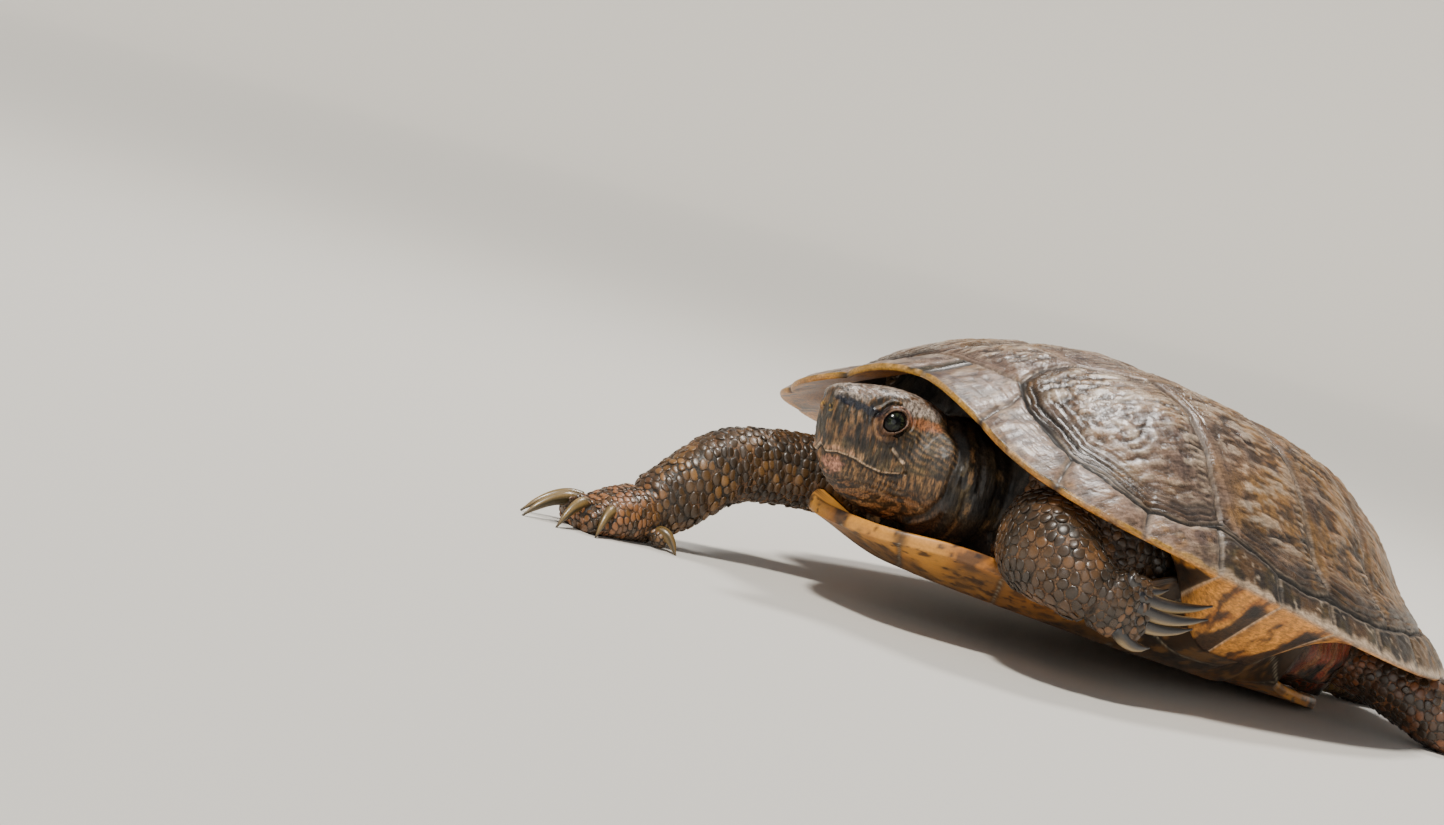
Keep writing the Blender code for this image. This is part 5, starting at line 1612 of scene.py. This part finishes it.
def flesh_colour(name, points, local, along, around):
    """Base colour of the skin between the scales."""
    patch = fractal(points, 6.0, 3, 101)
    speck = fractal(points, 1.4, 2, 102)
    if name == "neck":
        streak = fractal(unrolled(along, around), (1.0, 6.0, 1.0), 3, 103)
        colour = mix(SKIN["black"], SKIN["dark"], smoothstep(-0.5, 0.5, patch))
        colour = mix(colour, SKIN["olive"], 0.8 * smoothstep(0.0, 0.7, streak))
        colour = mix(colour, SKIN["tan"], 0.45 * smoothstep(0.45, 0.9, streak + 0.3 * patch))
        low = smoothstep(0.0, 10.0, -(local[:, 2] + 5.0)) * (1.0 - smoothstep(26.0, 34.0, local[:, 0]))
        return mix(colour, mix(SKIN["brown"], SKIN["black"], smoothstep(-0.3, 0.2, streak)), 0.6 * low)
    if name.startswith("hind") or name == "tail":
        net = bell(fractal(points, 2.2, 2, 104), 0.22)
        colour = mix(SKIN["dark"], SKIN["brown"], smoothstep(-0.3, 0.8, patch))
        colour = mix(colour, SKIN["orange"], 0.3 * net)
        if name.startswith("hindleg"):
            inner = 1.0 - smoothstep(6.0, 20.0, along)
            colour = mix(colour, SKIN["red"], 0.75 * inner * smoothstep(-0.6, 0.3, speck + patch))
        return colour
    if name.startswith("fore"):
        colour = mix(SKIN["dark"], SKIN["brown"], smoothstep(-0.3, 0.7, patch))
        return mix(colour, SKIN["tan"], 0.35 * smoothstep(0.2, 0.8, speck))
    streak = fractal(points, (2.0, 2.0, 6.0), 3, 105)
    colour = mix(SKIN["black"], SKIN["dark"], smoothstep(-0.4, 0.6, streak))
    groin = smoothstep(48.0, 58.0, points[:, 1]) * smoothstep(-0.6, 0.3, patch)
    colour = mix(colour, mix(SKIN["red"], SKIN["orange"], smoothstep(-0.3, 0.5, streak)), 0.5 * groin)
    shoulder = smoothstep(30.0, 40.0, np.abs(points[:, 0])) * (1.0 - smoothstep(5.0, 15.0, points[:, 1]))
    return mix(colour, SKIN["brown"], 0.6 * shoulder * smoothstep(-0.5, 0.4, patch))


def flesh_relief(name, points, along, around):
    """Folds across the neck and the limbs, in millimetres."""
    if name == "neck":
        warp = 0.9 * noise(unrolled(along, around * 0.4), 7.0, 111)
        fold = np.abs(np.sin((along + warp) * math.pi / NECK_FOLD)) ** 0.7
        return 0.75 * (fold - 0.6) + 0.10 * fractal(points, (1.6, 1.0, 1.6), 2, 112)
    if name == "trunk":
        return 0.6 * fractal(points, (3.0, 3.0, 9.0), 3, 113)
    warp = 1.1 * noise(unrolled(along, around * 0.5), 6.0, 114)
    fold = np.abs(np.sin((along + warp) * math.pi / LIMB_FOLD)) ** 0.8
    depth = FOLD_DEPTHS.get(name.split("_")[0], 0.15)
    return depth * (fold - 0.6) + 0.16 * fractal(points, 2.0, 3, 115)


def finer_head(mesh, points):
    """Cuts the edges of the head in two; returns the new points, triangles and edges."""
    fine = (loft_places(points)[0] == HEAD_NUMBER) & (head_local(points)[:, 0] < FINE_HEAD)
    mesh.vertices.foreach_set("co", points.astype(np.float32).ravel())
    bm = bmesh.new()
    bm.from_mesh(mesh)
    bm.verts.ensure_lookup_table()
    chosen = [edge for edge in bm.edges if fine[edge.verts[0].index] and fine[edge.verts[1].index]]
    bmesh.ops.subdivide_edges(bm, edges=chosen, cuts=1, use_grid_fill=True, smooth=0.0)
    bm.to_mesh(mesh)
    bm.free()
    return read_mesh(mesh)


def skin():
    """One mesh over all flesh, with its relief and colour; returns what the scales need to know of it."""
    mesh = remeshed()
    points, _, edges = read_mesh(mesh)
    for rounds in (8, 2):
        points = fitted(smoothed(points, edges, rounds))
    points, triangles, edges = finer_head(mesh, points)
    local = head_local(points)
    own, second, along, around = loft_places(points)
    is_neck = own == NECK_NUMBER
    is_head = own == HEAD_NUMBER
    points = smoothed(points, edges, 3, weight=is_head.astype(float))
    joint = (is_head | is_neck) & (behind_fold(local) < 1.0)
    blend = np.where(joint, bell(second, 3.5), 0.0)
    points = smoothed(points, edges, 60, share=0.5, back=0.0, weight=blend)
    local = head_local(points)
    fold = behind_fold(local)
    is_head |= is_neck & (fold < 0.0)
    own = np.where(is_head, HEAD_NUMBER, own)

    normal = normals_of(points, triangles)
    crease = bell(second, 1.1) * (1.0 - joint)
    crease = np.maximum(crease, np.where(is_head | is_neck, bell(fold, 0.75), 0.0)
                        * smoothstep(16.0, 19.0, local[:, 0]))
    colours = np.zeros((len(points), 3))
    rough = np.full(len(points), 0.5)
    moved = points.copy()
    lid_gap = np.full(len(points), FAR)
    for number, name in enumerate(LOFT_NAMES):
        mine = own == number
        if not mine.any():
            continue
        if name == "head":
            turn, lid_gap[mine] = head_relief(local[mine], (normal[mine] @ HEAD_AXES.T))
            moved[mine] += HEAD_SCALE * (turn @ HEAD_AXES) - CREASE_DEPTH * crease[mine, None] * normal[mine]
            colours[mine], rough[mine] = head_colour(local[mine], lid_gap[mine])
        else:
            base = name.split("_toe")[0]
            lift = flesh_relief(base, points[mine], along[mine], around[mine])
            roll = 0.7 * bump(fold[mine], 1.9, 1.0) if name == "neck" else 0.0
            moved[mine] += normal[mine] * (lift + roll - CREASE_DEPTH * crease[mine])[:, None]
            colours[mine] = flesh_colour(base, points[mine], local[mine], along[mine], around[mine])
    off_lids = lid_gap > LID_REACH
    # Painted shade: darker in the creases where the lofts meet and in the fold at the back of the head.
    colours = mix(colours, SKIN["black"], 0.55 * crease * off_lids)
    moved = np.where(off_lids[:, None], fitted(moved), moved)
    mesh.vertices.foreach_set("co", to_world(moved).astype(np.float32).ravel())
    mesh.update()
    obj = linked("skin", mesh)
    mesh.shade_smooth()
    upright = np.isin(own, (HEAD_NUMBER, NECK_NUMBER))
    paint(obj, colours, rough, local * np.where(upright[:, None], (1.0, 1.0, 0.2), (1.0, 1.0, 1.0)))
    hide = painted_material("turtle_skin", 0.5, 0.08, speckle=0.22, coat=0.06, coat_roughness=0.25,
                            specular=0.38, subsurface=0.05, streaks=0.65, streak_size=0.45)
    dress(obj, hide, "skin", "trunk", "neck", "head", "tail", *LIMBS, *FEET)
    return moved, normals_of(moved, triangles), own, second, along, around


# ---------------------------------------------------------------- eyes and claws

BALL_RADIUS = EYE_RADIUS - 0.05
BALL_SIDES = 64
BALL_RINGS = 47
PUPIL = srgb(4, 4, 5)
EYE_RIM = srgb(14, 12, 12)


def eyes():
    """Dark wet balls with a thin flecked iris around the pupil."""
    turns = np.arange(BALL_SIDES) * 2.0 * math.pi / BALL_SIDES
    tilts = np.linspace(0.0, math.pi, BALL_RINGS + 2)[1:-1]
    for side, node in ((1.0, "eye_left"), (-1.0, "eye_right")):
        axis = EYE_AXIS * (1.0, side, 1.0)
        ahead = unit(np.cross((0.0, 0.0, 1.0), axis))
        upward = np.cross(axis, ahead)
        centre = EYE_CENTRE * (1.0, side, 1.0)
        spokes = np.cos(turns)[:, None] * ahead + np.sin(turns)[:, None] * upward
        rings = [head_point(centre + BALL_RADIUS * (math.cos(tilt) * axis + math.sin(tilt) * spokes))
                 for tilt in tilts]
        obj = closed_grid(f"{node}_ball", head_point(centre + BALL_RADIUS * axis), rings,
                          head_point(centre - BALL_RADIUS * axis))
        distance = np.where(tilts > math.pi / 2, 9.0, 0.0) + np.sin(tilts) * EYE_RADIUS
        distance = np.repeat(distance, BALL_SIDES)
        turn = np.tile(turns, len(tilts))
        sheet = np.column_stack((np.cos(turn) * 3.0, np.sin(turn) * 3.0, distance))
        fleck = fractal(sheet, (0.35, 0.35, 1.2), 2, 121)
        iris = mix(srgb(12, 15, 13), srgb(50, 56, 36), smoothstep(0.0, 1.0, fleck))
        iris_share = smoothstep(0.95, 1.15, distance) * (1.0 - smoothstep(1.9, 2.3, distance))
        colour = mix(mix(PUPIL, iris, iris_share), EYE_RIM, smoothstep(2.0, 2.5, distance))
        paint(obj, np.vstack((colour, [PUPIL, EYE_RIM])), 0.16)
        wet = painted_material(f"{node}_wet", 0.6, 0.0, speckle=0.1, coat=0.22, coat_roughness=0.02,
                               specular=0.15)
        dress(obj, wet, "eye", node)


CLAW_CURVES = {"forefoot_right": 2.3, "forefoot_left": -1.7, "hindfoot_left": 1.3, "hindfoot_right": 1.3}
CLAW_GIRTH = 1.3
CLAW_STEPS = (0.0, 0.2, 0.4, 0.6, 0.8, 0.93, 1.0)
CLAW_RINGS = 36
CLAW_SIDES = 24
CLAW_EDGE = srgb(190, 160, 110)

# Dark and light tint of the claws of each foot
CLAW_TINTS = {
    "forefoot_right": (srgb(50, 42, 22), srgb(122, 94, 46)),
    "forefoot_left": (srgb(20, 22, 28), srgb(56, 52, 50)),
    "hindfoot_left": (srgb(44, 36, 26), srgb(116, 90, 54)),
    "hindfoot_right": (srgb(44, 36, 26), srgb(116, 90, 54)),
}


def claws():
    """Curved, tapering claws with fine streaks along them and a paler edge."""
    for foot, pairs in CLAWS.items():
        radius = CLAW_RADIUS[foot] * CLAW_GIRTH
        dark, light = CLAW_TINTS[foot]
        for number, (root, tip) in enumerate(pairs, start=1):
            root, tip = np.array(root), np.array(tip)
            back = unit(root - tip)
            stations = []
            for t in CLAW_STEPS:
                arch = CLAW_CURVES[foot] * 4.0 * t * (1.0 - t)
                size = radius * (1.0 - CLAW_TAPER * t ** 1.9) * (1.0 if t < 0.9 else 0.75)
                centre = root + (tip - root) * t + back * CLAW_SET_BACK * (1.0 - t)
                stations.append((*(centre + (0.0, 0.0, arch)), size * CLAW_NARROWING, size))
            loops, first, last = loft(stations, CLAW_RINGS, CLAW_SIDES, power=2.0, caps=(0.4, 1.0))
            obj = closed_grid(f"claw_{foot}_{number}_horn", first, loops, last)
            share = np.repeat(np.linspace(0.0, 1.0, len(loops)), CLAW_SIDES)
            turn = np.tile(np.arange(CLAW_SIDES) * 2.0 * math.pi / CLAW_SIDES, len(loops))
            sheet = np.column_stack((share * 12.0, np.cos(turn) * 1.4, np.sin(turn) * 1.4 + number * 5))
            streak = fractal(sheet, (5.0, 0.6, 0.6), 2, 131 + number)
            colour = mix(dark, light, np.clip(0.35 + 0.6 * streak, 0.0, 1.0))
            edge = bump(np.abs(np.sin(turn + 0.5)), 0.95, 0.25) * smoothstep(0.1, 0.3, share)
            pale = 0.6 if foot == "forefoot_left" else 0.25
            colour = mix(colour, CLAW_EDGE, pale * edge * (1.0 - smoothstep(0.6, 0.95, share)))
            colour = mix(colour, dark * 0.6, smoothstep(0.75, 1.0, share))
            paint(obj, np.vstack((colour, [dark, dark * 0.6])), 0.34)
            finish = painted_material(f"claw_{foot}_{number}_finish", 0.4, 0.04, speckle=0.2, coat=0.3,
                                      coat_roughness=0.15)
            dress(obj, finish, "claw", f"claw_{foot}_{number}")


# ---------------------------------------------------------------- scales

SCALE_CORNERS = 12
# The loops of one scale from its root to its top: share of its width, share of its height and brightness
SCALE_ROWS = ((1.0, -0.25, 0.0), (1.0, 0.30, 0.30), (0.86, 0.78, 0.6), (0.5, 1.0, 1.0))
BAKE_REACH = 0.0015
SCALE_STRETCH = {"foreleg_right": 1.35, "foreleg_left": 1.1}
SCALE_NEIGHBOURS = 18
SCALE_BLOCK = 400
SCATTER_SEED = 7
SCATTER_CELL = 2.6
NEIGHBOURS = list(itertools.product((-1, 0, 1), repeat=3))
SCALE_GROUPS = {
    "foreleg_left": ("foreleg_left", "forefoot_left"), "foreleg_right": ("foreleg_right", "forefoot_right"),
    "hindleg_left": ("hindleg_left", "hindfoot_left"), "hindleg_right": ("hindleg_right", "hindfoot_right"),
    "tail": ("tail",),
}


def scale_spacing(name, along):
    """Distance between scales: large plates on the forearm, small ones up the leg and on the toes."""
    if "_toe" in name:
        return 1.35
    if name.startswith("forefoot"):
        return 1.75
    if name.startswith("foreleg"):
        return 1.55 + 0.85 * smoothstep(14.0, 34.0, along)
    if name.startswith("hindfoot"):
        return 1.7
    if name.startswith("hindleg"):
        return 1.6 + 0.4 * smoothstep(14.0, 34.0, along)
    return 1.9 - 0.7 * smoothstep(20.0, 80.0, along)


def scatter(points, spacing, seed):
    """Picks points that keep their spacing from each other."""
    order = np.random.default_rng(seed).permutation(len(points))
    places = points.tolist()
    gaps = spacing.tolist()
    cells = {}
    chosen = []
    for index in order.tolist():
        x, y, z = places[index]
        gap = gaps[index]
        i, j, k = int(x // SCATTER_CELL), int(y // SCATTER_CELL), int(z // SCATTER_CELL)
        others = (other for di, dj, dk in NEIGHBOURS for other in cells.get((i + di, j + dj, k + dk), ()))
        if all((a - x) ** 2 + (b - y) ** 2 + (c - z) ** 2 >= gap * gap for a, b, c in others):
            chosen.append(index)
            cells.setdefault((i, j, k), []).append(places[index])
    return np.array(chosen)


def spread(points, seeds, rounds=2):
    """Moves each seed to the middle of the points that are nearest to it."""
    for _ in range(rounds):
        owner = nearest(points[seeds], points)[1]
        total = np.zeros((len(seeds), 3))
        for axis in range(3):
            total[:, axis] = np.bincount(owner, points[:, axis], len(seeds))
        middle = total / np.maximum(np.bincount(owner, minlength=len(seeds)), 1)[:, None]
        seeds = np.unique(nearest(points, middle)[1])
    return seeds


def scales(points, normal, own, second, along, around):
    """A coat of scales on each limb and on the tail, where the skin is free of the shell and the floor."""
    toes = [i for i, n in enumerate(LOFT_NAMES) if "_toe" in n]
    between = np.isin(own, toes) & (second < 0.7)
    roof, rho = shell_under(points[:, 0], points[:, 1])
    under, s = plastron_top(points[:, 0], points[:, 1])
    height = points[:, 2]
    free = ((rho > 1.0) | (height < roof - 1.1)) & ((s > 1.03) | (height > under + 1.1) | (height < 0))
    world_up = pitched(points)[:, 2] > 0.6 * MM
    for group, (name, bases) in enumerate(SCALE_GROUPS.items()):
        members = [i for i, n in enumerate(LOFT_NAMES) if n.split("_toe")[0] in bases]
        start = 6.0 if name != "tail" else 14.0
        mine = np.isin(own, members) & free & world_up & ~between & ((along > start) | (own != members[0]))
        if name.startswith("fore"):
            side = 1.0 if name.endswith("left") else -1.0
            shoulder = (points[:, 0] * side > 34.0) & (points[:, 1] > -45.0) & (points[:, 1] < 8.0)
            mine |= (own == TRUNK_NUMBER) & shoulder & free
        index = np.where(mine)[0]
        spacing = np.full(len(index), 2.2)
        for member in members:
            here = own[index] == member
            spacing[here] = scale_spacing(LOFT_NAMES[member], along[index[here]])
        spacing *= 1.0 + 0.16 * noise(points[index], 5.0, 141)
        lie = lie_of(np.array(members[:1]))
        stretch = SCALE_STRETCH.get(name, 1.0)
        drawn = points[index] + (stretch - 1.0) * (points[index] @ lie[0])[:, None] * lie
        seeds = spread(drawn, scatter(drawn, spacing, SCATTER_SEED + group))
        build_scales(name, points, normal, own, along, around, index[seeds], spacing[seeds])


def build_scales(name, points, normal, own, along, around, roots, spacing):
    """Domed scales at the roots, each as wide as its neighbours leave room for, joined into one mesh."""
    place = points[roots]
    up = normal[roots]
    lengthwise = lie_of(own[roots])
    ahead = unit(lengthwise - (lengthwise * up).sum(-1)[:, None] * up)
    side = np.cross(up, ahead)
    # How far each scale reaches in each direction before it meets the middle line to a neighbour
    stretch = SCALE_STRETCH.get(name, 1.0)
    near_count = min(SCALE_NEIGHBOURS, len(roots) - 1)
    reach = np.empty((len(roots), SCALE_CORNERS))
    turns = np.arange(SCALE_CORNERS) * 2.0 * math.pi / SCALE_CORNERS
    rays = np.stack((np.cos(turns), np.sin(turns)), -1)
    for begin in range(0, len(roots), SCALE_BLOCK):
        block = slice(begin, begin + SCALE_BLOCK)
        offset = place[None] - place[block, None]
        far = np.linalg.norm(offset, axis=-1)
        order = np.argpartition(far, near_count, axis=1)[:, :near_count + 1]
        chosen = np.take_along_axis(offset, order[..., None], axis=1)
        forward = (chosen * ahead[block, None]).sum(-1) * stretch
        flat = np.stack((forward, (chosen * side[block, None]).sum(-1)), -1)
        size = np.linalg.norm(flat, axis=-1)
        facing = flat @ rays.T
        limit = np.where((facing > 1e-6) & (size[..., None] > 1e-6), 0.5 * size[..., None] ** 2
                         / np.maximum(facing, 1e-6), FAR)
        reach[block] = limit.min(axis=1)
    reach = np.minimum(reach, 1.15 * spacing[:, None])
    reach = 0.95 * reach - 0.03
    reach = 0.6 * reach + 0.2 * (np.roll(reach, 1, axis=1) + np.roll(reach, -1, axis=1))
    reach = np.maximum(reach, 0.25)

    thick = 0.115 * spacing * (0.95 + 0.45 * noise(place, 3.0, 151))
    spots = []
    tints = []
    dark, light, gloss = scale_tints(name, place)
    for share, rise, bright in SCALE_ROWS:
        across = (reach * share)[..., None]
        flat = rays[None] * across / (stretch, 1.0)
        spot = (place[:, None] + flat[..., :1] * ahead[:, None] + flat[..., 1:] * side[:, None]
                + up[:, None] * ((rise * thick)[:, None] + 0.13 * flat[..., 0] * (rise > 0)
                                 - 0.035 * (across[..., 0] ** 2))[..., None])
        spots.append(spot)
        tints.append(np.repeat(mix(dark, light, np.full(len(place), bright))[:, None], SCALE_CORNERS, axis=1))
    crown = place + up * (1.02 * thick)[:, None]
    base = place - up * 0.45
    count = len(place)
    per = len(SCALE_ROWS) * SCALE_CORNERS + 2
    block = np.concatenate((np.stack(spots, 1).reshape(count, -1, 3), crown[:, None], base[:, None]), 1)
    tint = np.concatenate((np.stack(tints, 1).reshape(count, -1, 3), light[:, None], dark[:, None]), 1)
    faces = []
    j = np.arange(SCALE_CORNERS)
    k = (j + 1) % SCALE_CORNERS
    for row in range(len(SCALE_ROWS) - 1):
        a = row * SCALE_CORNERS
        b = a + SCALE_CORNERS
        faces += np.stack((a + j, a + k, b + k, b + j), -1).tolist()
    top = per - 2
    last = (len(SCALE_ROWS) - 1) * SCALE_CORNERS
    fans = np.concatenate((np.stack((last + j, last + k, np.full(SCALE_CORNERS, top)), -1),
                           np.stack((k, j, np.full(SCALE_CORNERS, top + 1)), -1)))
    quads = (np.array(faces)[None] + per * np.arange(count)[:, None, None]).reshape(-1, 4)
    fans = (fans[None] + per * np.arange(count)[:, None, None]).reshape(-1, 3)
    obj = mesh_object(f"{name}_scales", block.reshape(-1, 3), quads.tolist() + fans.tolist())
    paint(obj, tint.reshape(-1, 3), np.repeat(gloss, per))

    # Each scale is a small patch at its root's place on the limb unrolled
    mesh = obj.data
    length = max(along[roots].max(), 1.0)
    foot = np.where(own[roots] == LOFT_NAMES.index(name), 0.0, 1.0)
    u = 0.04 + 0.50 * along[roots] / length + 0.42 * foot
    v = 0.04 + 0.92 * (around[roots] / max(around[roots].max(), 1.0))
    corner = np.concatenate([rays * BAKE_REACH * share for share, _, _ in SCALE_ROWS] + [np.zeros((2, 2))])
    spot = np.clip(np.stack((u, v), -1)[:, None] + corner[None], 0.0, 1.0).reshape(-1, 2)
    layer = mesh.uv_layers.new(name="OFBake")
    loops = np.empty(len(mesh.loops), np.int32)
    mesh.loops.foreach_get("vertex_index", loops)
    layer.data.foreach_set("uv", spot[loops].astype(np.float32).ravel())
    finish = painted_material(f"{name}_scale_finish", 0.35, 0.05, speckle=0.25, coat=0.2, coat_roughness=0.25)
    obj.data.materials.clear()
    obj.data.materials.append(finish)
    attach(obj, "root")


def lie_of(owners):
    """The way the scales lie: along each limb, towards its toes."""
    result = np.zeros((len(owners), 3))
    for number in np.unique(owners):
        loops = LOFTS[LOFT_NAMES[number]][0]
        middle = loops.mean(axis=1)
        result[owners == number] = unit(middle[-4] - middle[3])
    return result


def scale_tints(name, place):
    """Colour of each scale at its root and on its top, and its roughness."""
    tone = fractal(place, 7.0, 3, 161)
    each = noise(place, 1.3, 162)
    if name == "foreleg_right":
        light = mix(srgb(66, 49, 31), srgb(132, 94, 50), smoothstep(-0.4, 1.3, tone + 0.7 * each))
        foot = 1.0 - smoothstep(-102.0, -92.0, place[:, 1])
        light = mix(light, srgb(156, 100, 60), 0.7 * foot * smoothstep(-0.8, 0.6, each))
        light = mix(light, srgb(46, 37, 28), 0.7 * smoothstep(0.0, 0.7, -tone + 0.5 * each) * (1.0 - foot))
    elif name == "foreleg_left":
        light = mix(srgb(62, 46, 30), srgb(116, 80, 46), smoothstep(-0.5, 1.4, tone + 0.8 * each))
        light = mix(light, srgb(40, 33, 26), 0.6 * smoothstep(0.0, 0.7, -tone + 0.5 * each))
    elif name == "tail":
        light = mix(srgb(60, 50, 36), srgb(150, 118, 66), smoothstep(0.0, 0.6, tone))
    else:
        light = mix(srgb(54, 41, 29), srgb(128, 78, 44), smoothstep(-0.2, 1.2, tone + 0.7 * each))
    dark = mix(srgb(30, 24, 18), light, 0.35)
    return dark, light, 0.36 + 0.10 * np.clip(each, -1.0, 1.0)


# ---------------------------------------------------------------- stage, light and camera

CAMERA_PLACE = np.array((570.0, -596.0, 35.0))
CAMERA_AZIMUTH = math.radians(50.35)
CAMERA_ELEVATION = math.radians(0.91)
CAMERA_ROLL = math.radians(20.3)
CAMERA_LENS = 74.4
FLOOR_REACH = 7.0
FLOOR_RISE = 3.5
FLOOR_SIDES = 96
KEY_PLACE = np.array((0.30, -0.75, 1.35))
KEY_STRENGTH = 4.3
KEY_SOFTNESS = math.radians(9.0)


def floor():
    """A wide pale floor that rises in a long curve far behind the turtle."""
    turn = np.linspace(0.0, math.pi / 2.0, 24)
    profile = [(0.4, 0.0), (0.9, 0.0), (1.8, 0.0), (3.5, 0.0), (6.0, 0.0)]
    profile += list(zip(FLOOR_REACH + FLOOR_RISE * np.sin(turn), FLOOR_RISE * (1.0 - np.cos(turn))))
    angle = np.arange(FLOOR_SIDES) * 2.0 * math.pi / FLOOR_SIDES
    points = []
    for reach, height in profile:
        points += [(reach * math.cos(a), reach * math.sin(a), height) for a in angle]
    points.append((0.0, 0.0, 0.0))
    faces = grid_faces(len(profile), FLOOR_SIDES).tolist()
    faces += [(len(points) - 1, (i + 1) % FLOOR_SIDES, i) for i in range(FLOOR_SIDES)]
    mesh = bpy.data.meshes.new("floor")
    mesh.from_pydata(points, [], faces)
    obj = linked("floor", mesh)
    mesh.shade_smooth()
    material = bpy.data.materials.new("pale_floor")
    material.use_nodes = True
    shader = material.node_tree.nodes["Principled BSDF"]
    shader.inputs["Base Color"].default_value = (0.62, 0.60, 0.56, 1.0)
    shader.inputs["Roughness"].default_value = 0.85
    mesh.materials.append(material)


def area_light(name, place, target, size, power, colour):
    """A round lamp that faces its target."""
    data = bpy.data.lights.new(name, "AREA")
    data.shape = "DISK"
    data.size = size
    data.energy = power
    data.color = colour
    aim(linked(name, data), unit(np.array(place) - np.array(target)), place)


def aim(obj, back, place, right=None, up=None):
    """Puts an object at its place with the given axes; without right and up it stands level."""
    right = unit(np.cross((0, 0, 1), back)) if right is None else right
    up = np.cross(back, right) if up is None else up
    matrix = np.identity(4)
    matrix[:3] = np.column_stack((right, up, back, place))
    obj.matrix_world = Matrix(matrix.tolist())


def lights():
    """A soft sun from the front, a broad fill, a small lamp for the glints, and the room's own light."""
    sun = bpy.data.lights.new("key", "SUN")
    sun.energy = KEY_STRENGTH
    sun.angle = KEY_SOFTNESS
    sun.color = (1.0, 0.955, 0.88)
    aim(linked("key", sun), unit(KEY_PLACE), KEY_PLACE)
    area_light("fill", (1.4, -1.2, 0.55), (0.0, 0.0, 0.03), 1.2, 7.0, (0.93, 0.96, 1.0))
    area_light("glint", (-0.28, 0.42, 1.20), (0.0, 0.0, 0.05), 0.28, 12.0, (1.0, 0.97, 0.93))
    world = bpy.data.worlds.new("soft_room")
    world.use_nodes = True
    background = world.node_tree.nodes["Background"]
    background.inputs["Color"].default_value = (0.86, 0.89, 0.92, 1.0)
    background.inputs["Strength"].default_value = 0.25
    bpy.context.scene.world = world


def camera():
    """The camera of the photo's view, placed in the body frame and pitched with it."""
    az, el, roll = CAMERA_AZIMUTH, CAMERA_ELEVATION, CAMERA_ROLL
    back = np.array((math.sin(az) * math.cos(el), -math.cos(az) * math.cos(el), math.sin(el)))
    level = unit(np.cross((0, 0, 1), back))
    upright = np.cross(back, level)
    right = math.cos(roll) * level + math.sin(roll) * upright
    up = -math.sin(roll) * level + math.cos(roll) * upright
    origin = pitched((0.0, 0.0, 0.0))
    right, up, back = ((pitched(axis) - origin) / MM for axis in (right, up, back))
    data = bpy.data.cameras.new("camera")
    data.sensor_width = 36.0
    data.lens = CAMERA_LENS
    data.clip_start = 0.01
    data.clip_end = 50.0
    obj = linked("camera", data)
    aim(obj, back, pitched(CAMERA_PLACE) + FRAME_SHIFT, right, up)
    bpy.context.scene.camera = obj


# ---------------------------------------------------------------- the whole

carapace()
plastron()
scales(*skin())
eyes()
claws()
floor()
lights()
camera()
